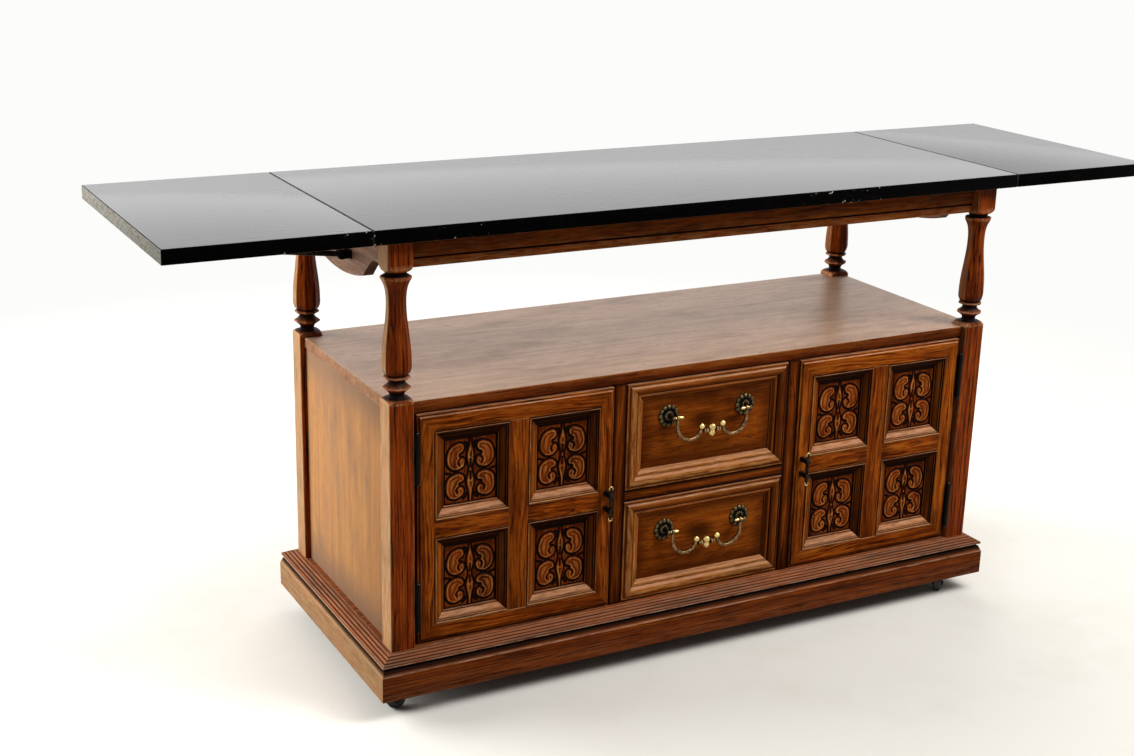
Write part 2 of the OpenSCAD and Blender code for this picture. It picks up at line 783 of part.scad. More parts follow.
module leaf_hardware() {
    color(iron) {
        at_leaf_hinges() leaf_hinge_half(false);
        block([seam_x + rest_from, -stay_front - rest_plate_w / 2, top_under - rest_plate],
              [seam_x + rest_to, -stay_front + rest_plate_w / 2, top_under]);
    }
}

// Stay bracket on the apron, with two ears and the stay's pin
module stay_brackets() {
    plate = 2;
    flange = 6;
    ear_r = 7;
    pin_end = 1;
    ear_in = stay_hub_w / 2 + slide_gap;
    half = ear_in + stay_ear;
    color(iron) both_sides() translate([stay_x, -stay_front, stay_z]) {
        block([-stay_axis_out, -half - flange, -stay_bracket_h / 2],
              [plate - stay_axis_out, half + flange, stay_bracket_h / 2]);
        for (s = [-1, 1]) translate([0, s * (ear_in + stay_ear / 2) + stay_ear / 2, 0])
            rotate([90, 0, 0]) linear_extrude(height = stay_ear) {
                translate([-stay_axis_out, -ear_r]) square([stay_axis_out, 2 * ear_r]);
                circle(ear_r);
            }
        rotate([90, 0, 0]) cylinder(r = stay_pin_r, h = 2 * (half + pin_end), center = true);
    }
}

// A round rod between two points of the XZ plane
module rod_xz(a, b, r) {
    d = b - a;
    translate([a[0], 0, a[1]]) rotate([0, atan2(d[0], d[1]), 0]) cylinder(r = r, h = norm(d));
}

module stay() {
    elbow = [stay_elbow, stay_elbow_rise];
    foot = [stay_out, stay_up];
    foot_w = 16;
    bend_r = stay_rod_r + 0.5;
    color(iron) translate([stay_x, -stay_front, stay_z]) difference() {
        union() {
            rotate([90, 0, 0]) cylinder(r = stay_hub_r, h = stay_hub_w, center = true);
            rod_xz([0, 0], elbow, stay_rod_r);
            translate([elbow[0], 0, elbow[1]]) sphere(bend_r);
            rod_xz(elbow, foot, stay_rod_r);
            translate([foot[0], 0, foot[1]]) rotate([90, 0, 0])
                cylinder(r = stay_foot_r, h = foot_w, center = true);
        }
        rotate([90, 0, 0]) cylinder(r = stay_pin_r + pin_gap, h = 3 * stay_hub_w, center = true);
    }
}

// Doors, drawn for the right side
module door_frame() {
    y = [front_y, front_back_y];
    x0 = door_in + lock_stile;
    x1 = door_out - door_stile;
    g = glue_line;
    mid_z = front_bottom + door_bottom_rail + open_h;
    color(oak) {
        block([door_in, y[0], front_bottom], [x0 - g, y[1], front_top]);
        block([x1 + g, y[0], front_bottom], [door_out, y[1], front_top]);
        for (z = [[front_bottom, door_bottom_rail], [mid_z, door_mid_rail],
                  [front_top - door_top_rail, door_top_rail]])
            block([x0, y[0], z[0]], [x1, y[1], z[0] + z[1]]);
        for (z = [open_low_z, open_high_z])
            block([muntin_x - door_muntin / 2, y[0], z - open_h / 2 + g],
                  [muntin_x + door_muntin / 2, y[1], z + open_h / 2 - g]);
    }
}

module at_openings() {
    for (sx = [-1, 1], z = [open_low_z, open_high_z])
        translate([muntin_x + sx * (door_muntin + open_w) / 2, 0, z]) children();
}

module door_mouldings() {
    back = -tile_depth - tile_thick;
    color(oak) translate([0, front_y, 0]) at_openings()
        mitred_front(0, 0, open_w, open_h, bevel_w,
            [[0, back], [0, 1], [1, 2], [2.5, 2], [3.5, 1], [4, -0.5],
             [9, -2.5], [bevel_w - 4.5, -6.5], [bevel_w - 3.5, -5.8], [bevel_w - 1.5, -5.8],
             [bevel_w, -7], [bevel_w, back]]);
}

module door_tiles() {
    w = open_w - 2 * bevel_w;
    h = open_h - 2 * bevel_w;
    color(oak_dark) at_openings() block([-w / 2, front_y + tile_depth, -h / 2],
                                        [w / 2, front_y + tile_depth + tile_thick, h / 2]);
}

module door_handle() {
    half = handle_len / 2 - handle_ball_r;
    waist = handle_post_span / 2;
    swell = 0.8;
    color(iron) translate([handle_x, handle_y, handle_z]) {
        rotate_extrude() polygon([[0, -half], [handle_bar_r, -half], [handle_bar_r, -waist],
            [handle_bar_r + swell, 0], [handle_bar_r, waist], [handle_bar_r, half], [0, half]]);
        for (s = [-1, 1]) translate([0, 0, s * half]) sphere(handle_ball_r);
        for (s = [-1, 1]) translate([0, handle_reach / 2 - handle_post_w / 4, s * waist])
            cube([handle_post_w, handle_reach + handle_post_w / 2, handle_post_w], center = true);
    }
}

// Door hinge halves: the post carries the end knuckles and the pin, the door the middle one
module at_door_hinges() {
    for (z = [hinge_low_z, hinge_high_z]) translate([hinge_x, hinge_y, z]) children();
}

module post_hinge_halves() {
    plate_x = inner_x - hinge_leaf - hinge_x;
    plate_y = front_y - hinge_y + slide_gap;
    color(iron) both_sides() at_door_hinges() {
        for (z = [0, 2 * knuckle]) {
            translate([0, 0, z]) cylinder(r = hinge_r, h = knuckle);
            block([0, -hinge_leaf / 2, z], [plate_x + hinge_leaf, hinge_leaf / 2, z + knuckle]);
            block([plate_x, 0, z], [plate_x + hinge_leaf, plate_y, z + knuckle]);
        }
        block([plate_x, plate_y, 0], [plate_x + hinge_leaf, plate_y + hinge_plate_w, hinge_len]);
        cylinder(r = hinge_pin_r, h = hinge_len);
        for (z = [-finial_out, hinge_len + finial_out]) translate([0, 0, z]) sphere(finial_r);
    }
}

module door_hinges() {
    plate_x = door_out - hinge_x;
    plate_y = front_y - hinge_y;
    z0 = knuckle + slide_gap;
    z1 = 2 * knuckle - slide_gap;
    lap = 1;
    color(iron) at_door_hinges() difference() {
        union() {
            translate([0, 0, z0]) cylinder(r = hinge_r, h = z1 - z0);
            block([plate_x, 0, z0], [plate_x + hinge_leaf, plate_y + lap, z1]);
            block([plate_x, plate_y, 0], [plate_x + hinge_leaf, plate_y + hinge_plate_w, hinge_len]);
        }
        cylinder(r = hinge_pin_r + pin_gap, h = hinge_len);
    }
    z = cabinet_under - stop_h;
    color(steel) block([catch_x - catch_w / 2, front_back_y, z - catch_h - strike_lap],
                       [catch_x + catch_w / 2, front_back_y + strike, z - slide_gap]);
}

// Drawers
module drawer_front(z0, h) {
    face = field_depth;
    w = drawer_mould_w;
    color(oak) {
        block([-drawer_w / 2, field_y, z0], [drawer_w / 2, front_back_y, z0 + h]);
        translate([0, field_y, 0]) mitred_front(0, z0 + h / 2, drawer_w, h, w,
            [[0, glue_line], [0, face - 1], [1, face], [7, face], [8, face - 1.5], [10, face - 1.5],
             [14, face - 2.5], [20, face - 4.5], [w - 7, face - 5], [w - 5, face - 4], [w - 2, face - 4],
             [w, face - 6], [w, glue_line]]);
    }
}

module drawer_box(z0, h, rest_z) {
    zb = rest_z + box_lift;
    zt = z0 + h - box_head;
    y1 = front_back_y + box_len;
    inside = box_out - box_wall - glue_line;
    color(oak_light) {
        both_sides() block([box_out - box_wall, front_back_y, zb], [box_out, y1, zt]);
        block([-inside, y1 - box_wall, zb], [inside, y1, zt - box_back_drop]);
        block([-inside, front_back_y, zb + box_bottom_up],
              [inside, y1 - box_wall - glue_line, zb + box_bottom_up + box_bottom]);
    }
}

module rosettes(z) {
    color(iron) both_sides() translate([pull_span / 2, field_y, z]) {
        rotate([90, 0, 0]) rotate_extrude() polygon([[0, 0], [rosette_r, 0], [rosette_r, 1.5],
            [rosette_r - 4, rosette_thick - 1], [rosette_r - 9, rosette_thick], [0, rosette_thick]]);
        translate([0, -rosette_thick, 0]) rotate([90, 0, 0])
            cylinder(r = rosette_post_r, h = bail_reach - rosette_thick);
        translate([0, -bail_reach, 0]) sphere(rosette_post_r);
        translate([0, -bail_reach, 0]) rotate([0, -90, 0]) cylinder(r = horn_r, h = horn_len);
    }
}

// Bail of two C scrolls joined by a cross rod and a turned drop, hanging from the horns
module bail(z) {
    low = z - bail_drop;
    arc_z = low + bail_arc_out;
    in_z = low + bail_arc_in;
    ball_x = bail_arc_x - bail_arc_in;
    color(brass) translate([0, bail_y, 0]) difference() {
        union() {
            both_sides() {
                translate([bail_eye_x, 0, z]) rotate([0, 90, 0])
                    cylinder(r = bail_eye_r, h = bail_eye_w, center = true);
                translate([bail_eye_x, 0, arc_z]) cylinder(r = bail_rod_r, h = z - arc_z);
                translate([bail_arc_x, 0, arc_z]) rotate([90, 0, 0]) rotate([0, 0, 270])
                    rotate_extrude(angle = 90) translate([bail_arc_out, 0]) circle(bail_rod_r);
                translate([bail_arc_x, 0, in_z]) rotate([90, 0, 0]) rotate([0, 0, 180])
                    rotate_extrude(angle = 90) translate([bail_arc_in, 0]) circle(bail_rod_r);
                translate([ball_x, 0, in_z]) sphere(bail_ball_r);
            }
            translate([-ball_x, 0, in_z]) rotate([0, 90, 0]) cylinder(r = cross_rod_r, h = 2 * ball_x);
            translate([0, 0, low + drop_rise]) rotate_extrude()
                polygon([[0, -11], [3, -9.5], [5, -5], [6, 0], [4, 4], [2.5, 7], [4, 9], [0, 11]]);
        }
        both_sides() translate([bail_eye_x, 0, z]) rotate([0, 90, 0])
            cylinder(r = horn_r + pin_gap, h = 2 * bail_eye_w, center = true);
    }
}

// Fixed structure
plinth_boards();
plinth_blocks();
base_panel();
base_moulding();
caster_plates();
post(-1, -1);  // post_front_left
post(1, -1);  // post_front_right
post(-1, 1);  // post_back_left
post(1, 1);  // post_back_right
side_panels();
back_panel();
partitions();
cabinet_top();
front_stiles();
drawer_rail();
stop_rails();
drawer_runners();
inner_shelves();
shelf_pins();
door_catches();
apron_rails();
end_aprons();
centre_top();
top_hinge_halves();
stay_brackets();
post_hinge_halves();

// Casters
caster_fork(0);  // caster_fork_front_left
caster_fork(1);  // caster_fork_front_right
caster_fork(2);  // caster_fork_back_left
caster_fork(3);  // caster_fork_back_right
caster_wheel(0);  // caster_wheel_front_left
caster_wheel(1);  // caster_wheel_front_right
caster_wheel(2);  // caster_wheel_back_left
caster_wheel(3);  // caster_wheel_back_right

// Leaves and their stays
mirror([1, 0, 0]) leaf();  // leaf_left
leaf();  // leaf_right
mirror([1, 0, 0]) leaf_hardware();  // leaf_left_hardware
leaf_hardware();  // leaf_right_hardware
mirror([1, 0, 0]) stay();  // stay_left
stay();  // stay_right

// Doors
mirror([1, 0, 0]) door_frame();  // door_left_frame
mirror([1, 0, 0]) door_mouldings();  // door_left_mouldings
mirror([1, 0, 0]) door_tiles();  // door_left_tiles
mirror([1, 0, 0]) door_handle();  // door_left_handle
mirror([1, 0, 0]) door_hinges();  // door_left_hinges
door_frame();  // door_right_frame
door_mouldings();  // door_right_mouldings
door_tiles();  // door_right_tiles
door_handle();  // door_right_handle
door_hinges();  // door_right_hinges

// Drawers
drawer_front(upper_bottom, upper_front_h);  // drawer_upper_front
drawer_box(upper_bottom, upper_front_h, upper_rest_z);  // drawer_upper_box
rosettes(upper_pull_z);  // drawer_upper_rosettes
bail(upper_pull_z);  // bail_upper
drawer_front(front_bottom, lower_front_h);  // drawer_lower_front
drawer_box(front_bottom, lower_front_h, base_z);  // drawer_lower_box
rosettes(lower_pull_z);  // drawer_lower_rosettes
bail(lower_pull_z);  // bail_lower
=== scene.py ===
# Drop-leaf sideboard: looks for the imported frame. Metres, +Z up, front towards -Y.
import bpy
import math
import random
import numpy as np
from mathutils import Matrix, Vector


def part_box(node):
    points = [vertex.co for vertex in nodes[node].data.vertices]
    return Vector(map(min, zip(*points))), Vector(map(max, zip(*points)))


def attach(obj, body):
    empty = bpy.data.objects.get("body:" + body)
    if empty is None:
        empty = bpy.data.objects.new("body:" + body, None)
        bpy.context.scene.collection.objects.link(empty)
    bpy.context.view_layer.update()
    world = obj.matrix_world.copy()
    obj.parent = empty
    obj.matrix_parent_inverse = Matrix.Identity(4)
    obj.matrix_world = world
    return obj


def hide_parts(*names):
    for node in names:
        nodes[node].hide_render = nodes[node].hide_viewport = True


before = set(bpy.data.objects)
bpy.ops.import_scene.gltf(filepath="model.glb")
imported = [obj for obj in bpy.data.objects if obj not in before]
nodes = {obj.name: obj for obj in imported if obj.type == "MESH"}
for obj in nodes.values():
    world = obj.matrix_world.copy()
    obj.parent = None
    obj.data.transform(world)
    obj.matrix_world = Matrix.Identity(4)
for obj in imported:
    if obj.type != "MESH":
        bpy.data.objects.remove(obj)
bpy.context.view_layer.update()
MM = 0.001
SIDES = ("left", "right")
CORNERS = ("front_left", "front_right", "back_left", "back_right")
NO_EDGE = 9.0  # half size, in metres, of a board whose edges the shaders shouldn't see

# Camera, from the photograph's vanishing lines
CAMERA_PLACE = Vector((-1.489, -2.5002, 1.3482))
CAMERA_AZIMUTH = math.radians(28.04)
CAMERA_DOWN = math.radians(17.63)
CAMERA_ROLL = math.radians(1.383)
CAMERA_LENS = 53.85


# Meshes

class Shape:
    """Points and faces, with what the wood shaders read: grain coordinates, place on the board and tone."""

    def __init__(self):
        self.co = []
        self.faces = []
        self.slots = []
        self.wood = []
        self.place = []
        self.half = []
        self.tone = []
        self.count = 0

    def add(self, co, faces, wood=None, place=None, half=None, tone=0.0, slot=0):
        co = np.asarray(co, float).reshape(-1, 3)
        n = len(co)
        self.co.append(co)
        self.faces += [tuple(int(i) + self.count for i in f) for f in faces]
        self.slots += [slot] * len(faces)
        self.wood.append(co if wood is None else np.broadcast_to(np.asarray(wood, float), (n, 3)))
        self.place.append(np.zeros((n, 3)) if place is None else np.broadcast_to(place, (n, 3)))
        self.half.append(np.full((n, 3), NO_EDGE) if half is None else np.broadcast_to(half, (n, 3)))
        self.tone.append(np.broadcast_to(np.asarray(tone, float), (n,)))
        self.count += n


def build(name, shape, materials, body, replaces=(), crease=38):
    mesh = bpy.data.meshes.new(name)
    mesh.from_pydata(np.concatenate(shape.co).tolist(), [], shape.faces)
    for label, values in (("wood", shape.wood), ("place", shape.place), ("half", shape.half)):
        layer = mesh.attributes.new(label, "FLOAT_VECTOR", "POINT")
        layer.data.foreach_set("vector", np.concatenate(values).astype(np.float32).ravel())
    layer = mesh.attributes.new("tone", "FLOAT", "POINT")
    layer.data.foreach_set("value", np.concatenate(shape.tone).astype(np.float32))
    for m in materials:
        mesh.materials.append(m)
    mesh.polygons.foreach_set("material_index", shape.slots)
    mesh.shade_smooth()
    mesh.set_sharp_from_angle(angle=math.radians(crease))
    mesh.validate()
    piece = bpy.data.objects.new(name, mesh)
    bpy.context.scene.collection.objects.link(piece)
    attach(piece, body)
    if replaces:
        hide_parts(*replaces)
    return piece


def rounded_box_grid():
    """Index triples and faces of a cube whose faces have a narrow outer ring."""
    index = {}
    faces = []
    for axis in range(3):
        for end in (0, 3):
            for a in range(3):
                for b in range(3):
                    quad = []
                    for da, db in ((0, 0), (1, 0), (1, 1), (0, 1)):
                        key = [0, 0, 0]
                        key[axis] = end
                        key[(axis + 1) % 3] = a + da
                        key[(axis + 2) % 3] = b + db
                        quad.append(index.setdefault(tuple(key), len(index)))
                    faces.append(tuple(quad) if end == 3 else tuple(reversed(quad)))
    return np.array(sorted(index, key=index.get)), faces


BOX_POINTS, BOX_FACES = rounded_box_grid()
chance = random.Random(7)


def grain_shift():
    """A place of its own in the wood for each board."""
    return np.array([chance.uniform(0, 9), chance.uniform(0, 3), chance.uniform(0, 3)])


def mm(*rows):
    """Points given in millimetres, in metres."""
    return np.array(rows, float) * MM


def middle_of(lo, hi):
    return (lo + hi) / 2


def arc_length(points):
    return np.concatenate([[0], np.cumsum(np.linalg.norm(np.diff(points, axis=0), axis=1))])


def lengthwise(run):
    """Places on a board that are known only along its length."""
    return np.stack([run, np.zeros(len(run)), np.zeros(len(run))], 1)


def closed_rings(rows, seg):
    """Faces of stacked rings of seg points, with a cap on the first and on the last."""
    faces = []
    for r in range(rows - 1):
        for s in range(seg):
            t = (s + 1) % seg
            faces.append((r * seg + s, r * seg + t, (r + 1) * seg + t, (r + 1) * seg + s))
    return faces + [tuple(reversed(range(seg))), tuple(range((rows - 1) * seg, rows * seg))]


def board(shape, lo, hi, along=None, edge=0.0009, tone=0.0, slot=0):
    """A board with softened edges; its grain runs along its longest side unless along names an axis."""
    lo = np.array(lo, float)
    hi = np.array(hi, float)
    size = hi - lo
    edge = min(edge, 0.3 * size.min())
    if along is None:
        along = int(size.argmax())
    steps = np.stack([lo, lo + edge, hi - edge, hi])
    co = np.stack([steps[BOX_POINTS[:, k], k] for k in range(3)], 1)
    core = np.clip(co, lo + edge, hi - edge)
    off = co - core
    co = core + off * (edge / np.maximum(np.linalg.norm(off, axis=1), 1e-9))[:, None]
    order = [along] + [k for k in range(3) if k != along]
    place = (co - middle_of(lo, hi))[:, order]
    shape.add(co, BOX_FACES, co[:, order] + grain_shift(), place, (size / 2)[order], tone, slot)


def solids(name):
    """Boxes of the separate solids of a CAD node, in order along X, then Z."""
    mesh = nodes[name].data
    co = np.zeros(len(mesh.vertices) * 3)
    mesh.vertices.foreach_get("co", co)
    co = co.reshape(-1, 3)
    weld = {}
    owner = np.array([weld.setdefault(tuple(p), len(weld)) for p in np.round(co, 6)])
    parent = list(range(len(weld)))

    def root(i):
        while parent[i] != i:
            parent[i] = parent[parent[i]]
            i = parent[i]
        return i

    for poly in mesh.polygons:
        ring = [owner[v] for v in poly.vertices]
        for other in ring[1:]:
            parent[root(other)] = root(ring[0])
    groups = {}
    for i, p in enumerate(co):
        groups.setdefault(root(owner[i]), []).append(p)
    boxes = [(np.min(g, 0), np.max(g, 0)) for g in groups.values()]
    return sorted(boxes, key=lambda b: (round(b[0][0], 3), round(b[0][2], 3)))


def box(name):
    lo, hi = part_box(name)
    return np.array(lo), np.array(hi)


def mitred_frame(shape, lo, hi, front, profile, tone, painted_side_light=(0, 0, 0, 0)):
    """Four mitred runs round the upright rectangle lo..hi (x, z); profile points are (inward, towards -Y).

    The last argument, painted light and shade for each side, is added to the tones of the bottom, right, top
    and left runs.
    """
    (x0, z0), (x1, z1) = lo, hi
    points = np.array(profile, float)
    middle = np.array([(x0 + x1) / 2, (z0 + z1) / 2])
    for side in range(4):
        upright = side % 2
        ends = []
        for end in (0, 1):
            corner_x = (end if not upright else (side == 1))
            corner_z = ((side == 2) if not upright else end)
            px = (x1 - points[:, 0]) if corner_x else (x0 + points[:, 0])
            pz = (z1 - points[:, 0]) if corner_z else (z0 + points[:, 0])
            ends.append(np.stack([px, front - points[:, 1], pz], 1))
        co = np.concatenate(ends)
        n = len(points)
        faces = [(i, i + 1, n + i + 1, n + i) for i in range(n - 1)]
        if side > 1:
            faces = [f[::-1] for f in faces]
        run = co[:, 2 if upright else 0]
        wood = np.stack([run, np.tile(arc_length(points), 2), co[:, 1]], 1) + grain_shift()
        half = (((z1 - z0) if upright else (x1 - x0)) / 2, NO_EDGE, NO_EDGE)
        place = lengthwise(run - middle[upright])
        shape.add(co, faces, wood, place, half, np.tile(tone, 2) + painted_side_light[side])


def revolve(shape, profile, at=(0, 0, 0), axis="Z", seg=32, tone=None, outline=None, slot=0):
    """Turned form: profile points are (radius, along). outline(angle, row) gives a radius factor."""
    rows = len(profile)
    angles = np.arange(seg) * 2 * math.pi / seg
    co = np.zeros((rows, seg, 3))
    for r, (radius, along) in enumerate(profile):
        factor = np.ones(seg) if outline is None else np.array([outline(a, r) for a in angles])
        co[r, :, 0] = radius * factor * np.cos(angles)
        co[r, :, 1] = radius * factor * np.sin(angles)
        co[r, :, 2] = along
    flat = co.reshape(-1, 3)
    wood = flat[:, [2, 0, 1]] + grain_shift()
    if axis == "X":
        flat = flat[:, [2, 0, 1]]
    elif axis == "Y":
        flat = flat[:, [1, 2, 0]]
    faces = closed_rings(rows, seg)
    if profile[0][1] > profile[-1][1]:
        faces = [f[::-1] for f in faces]
    tones = 0.0 if tone is None else np.repeat(np.array(tone, float), seg)
    shape.add(flat + np.array(at), faces, wood, tone=tones, slot=slot)


def ball(shape, at, radius, tone=0.0, slot=0, seg=20, rings=11):
    arc = [math.pi * (i / (rings - 1) - 0.5) for i in range(rings)]
    profile = [(max(radius * math.cos(a), radius * 0.02), radius * math.sin(a)) for a in arc]
    revolve(shape, profile, at, seg=seg, tone=[tone] * rings, slot=slot)


def tube(shape, path, radius, seg=14, tone=0.0, slot=0, outline=None):
    """Round bar along a path; radius is one value or one for each point."""
    path = [Vector(p) for p in path]
    radii = radius if hasattr(radius, "__len__") else [radius] * len(path)
    last = len(path) - 1
    tangents = [(path[min(i + 1, last)] - path[max(i - 1, 0)]).normalized() for i in range(len(path))]
    side = tangents[0].orthogonal().normalized()
    rings = []
    for i, p in enumerate(path):
        side = (side - tangents[i] * side.dot(tangents[i])).normalized()
        up = tangents[i].cross(side)
        for s in range(seg):
            a = 2 * math.pi * s / seg
            r = radii[i] * (1 if outline is None else outline(a))
            rings.append(p + (side * math.cos(a) + up * math.sin(a)) * r)
    co = np.array([tuple(p) for p in rings])
    shape.add(co, closed_rings(len(path), seg), co, tone=tone, slot=slot)


# Materials

def linear(code):
    """Linear colour of an sRGB hex code."""
    parts = [int(code[i:i + 2], 16) / 255 for i in (1, 3, 5)]
    return tuple(c / 12.92 if c <= 0.04045 else ((c + 0.055) / 1.055) ** 2.4 for c in parts) + (1.0,)


class Nodes:
    """A node tree and short ways to add to it."""

    def __init__(self, tree):
        self.tree = tree
        tree.nodes.clear()

    def put(self, socket, value):
        if isinstance(value, bpy.types.NodeSocket):
            self.tree.links.new(value, socket)
        else:
            socket.default_value = value

    def attribute(self, name, output="Vector"):
        node = self.tree.nodes.new("ShaderNodeAttribute")
        node.attribute_name = name
        return node.outputs[output]

    def object_place(self):
        return self.tree.nodes.new("ShaderNodeTexCoord").outputs["Object"]

    def normal(self):
        return self.split(self.tree.nodes.new("ShaderNodeNewGeometry").outputs["Normal"])

    def seen(self):
        """1 for what the camera sees, mirrored or through glass too, and 0 for light on its way."""
        path = self.tree.nodes.new("ShaderNodeLightPath")
        direct = self.math("MAXIMUM", path.outputs["Is Camera Ray"], path.outputs["Is Glossy Ray"])
        return self.math("MAXIMUM", direct, path.outputs["Is Transmission Ray"])

    def math(self, op, a, b=0.0, c=0.0, clamp=False):
        node = self.tree.nodes.new("ShaderNodeMath")
        node.operation = op
        node.use_clamp = clamp
        for socket, value in zip(node.inputs, (a, b, c)):
            self.put(socket, value)
        return node.outputs[0]

    def times(self, a, b, clamp=False):
        return self.math("MULTIPLY", a, b, clamp=clamp)

    def vector(self, op, a, b=(0, 0, 0)):
        node = self.tree.nodes.new("ShaderNodeVectorMath")
        node.operation = op
        self.put(node.inputs[0], a)
        self.put(node.inputs[1], b)
        return node.outputs["Value" if op == "LENGTH" else "Vector"]

    def scaled(self, v, scales):
        return self.vector("MULTIPLY", v, scales)

    def split(self, v):
        node = self.tree.nodes.new("ShaderNodeSeparateXYZ")
        self.put(node.inputs[0], v)
        return node.outputs[0], node.outputs[1], node.outputs[2]

    def join(self, x, y, z):
        node = self.tree.nodes.new("ShaderNodeCombineXYZ")
        for socket, value in zip(node.inputs, (x, y, z)):
            self.put(socket, value)
        return node.outputs[0]

    def noise(self, v, scale=1.0, detail=3.0, rough=0.5):
        node = self.tree.nodes.new("ShaderNodeTexNoise")
        self.put(node.inputs["Vector"], v)
        node.inputs["Scale"].default_value = scale
        node.inputs["Detail"].default_value = detail
        node.inputs["Roughness"].default_value = rough
        return node.outputs[0]

    def cells(self, v, scale):
        node = self.tree.nodes.new("ShaderNodeTexVoronoi")
        self.put(node.inputs["Vector"], v)
        node.inputs["Scale"].default_value = scale
        return node.outputs["Distance"]

    def span(self, value, lo, hi, to_lo=0.0, to_hi=1.0, smooth=True):
        node = self.tree.nodes.new("ShaderNodeMapRange")
        if smooth:
            node.interpolation_type = "SMOOTHSTEP"
        for socket, v in zip(node.inputs, (value, lo, hi, to_lo, to_hi)):
            self.put(socket, v)
        return node.outputs[0]

    def mix(self, amount, a, b):
        node = self.tree.nodes.new("ShaderNodeMix")
        node.data_type = "RGBA"
        factor, first, second, result = 0, 6, 7, 2
        self.put(node.inputs[factor], amount)
        self.put(node.inputs[first], a)
        self.put(node.inputs[second], b)
        return node.outputs[result]

    def ramp(self, value, *stops):
        node = self.tree.nodes.new("ShaderNodeValToRGB")
        self.put(node.inputs[0], value)
        points = node.color_ramp.elements
        while len(points) < len(stops):
            points.new(0.5)
        for point, (at, colour) in zip(points, stops):
            point.position = at
            point.color = linear(colour)
        return node.outputs[0]


class Shader(Nodes):
    """A material with one principled surface."""

    def __init__(self, name):
        self.material = bpy.data.materials.new(name)
        self.material.use_nodes = True
        super().__init__(self.material.node_tree)
        self.out = self.tree.nodes.new("ShaderNodeOutputMaterial")
        self.surface = self.tree.nodes.new("ShaderNodeBsdfPrincipled")
        self.tree.links.new(self.surface.outputs[0], self.out.inputs[0])

    def set(self, **values):
        for name, value in values.items():
            self.put(self.surface.inputs[name.replace("_", " ")], value)

    def bump(self, height, strength, distance):
        node = self.tree.nodes.new("ShaderNodeBump")
        node.inputs["Strength"].default_value = strength
        node.inputs["Distance"].default_value = distance
        self.put(node.inputs["Height"], height)
        self.put(self.surface.inputs["Normal"], node.outputs[0])


def grain(s, v, width=1.0, bend=1.0):
    """Broad figure, dark and pale growth lines and open pores. X of the coordinates runs with the grain."""
    sway = s.noise(s.scaled(v, (2.2, 9.0, 9.0)), 1.0, 3.0, 0.55)
    x, y, z = s.split(v)
    bent = s.math("MULTIPLY_ADD", sway, 0.06 * bend, y)
    deep = s.math("MULTIPLY_ADD", sway, 0.04 * bend, z)

    def drawn(along, across, detail, rough):
        place = s.join(s.times(x, along), s.times(bent, across / width),
                       s.times(deep, across * 0.7 / width))
        return s.noise(place, 1.0, detail, rough)

    figure = drawn(2.6, 90.0, 5.0, 0.66)
    growth = drawn(9.0, 400.0, 3.0, 0.6)
    pores = s.span(drawn(45.0, 1100.0, 2.0, 0.6), 0.52, 0.68)
    return figure, s.span(growth, 0.50, 0.66), s.span(growth, 0.47, 0.33), pores


def edges(s):
    """Distance from the nearest edge of the board in metres, and from its nearer end as a share."""
    room = s.vector("SUBTRACT", s.attribute("half"), s.vector("ABSOLUTE", s.attribute("place")))
    a, b, c = s.split(room)
    low = s.math("MINIMUM", a, b)
    high = s.math("MAXIMUM", a, b)
    length = s.split(s.attribute("half"))[0]
    return s.math("MAXIMUM", low, s.math("MINIMUM", high, c)), s.math("DIVIDE", a, length)


WINDOW_LIT_TAN = "#b8966a"
LEDGE_DUST_AND_GLARE = "#cf9b76"
DARK_SPOT = "#1c0802"
RECESS_SHADE = "#0e0402"


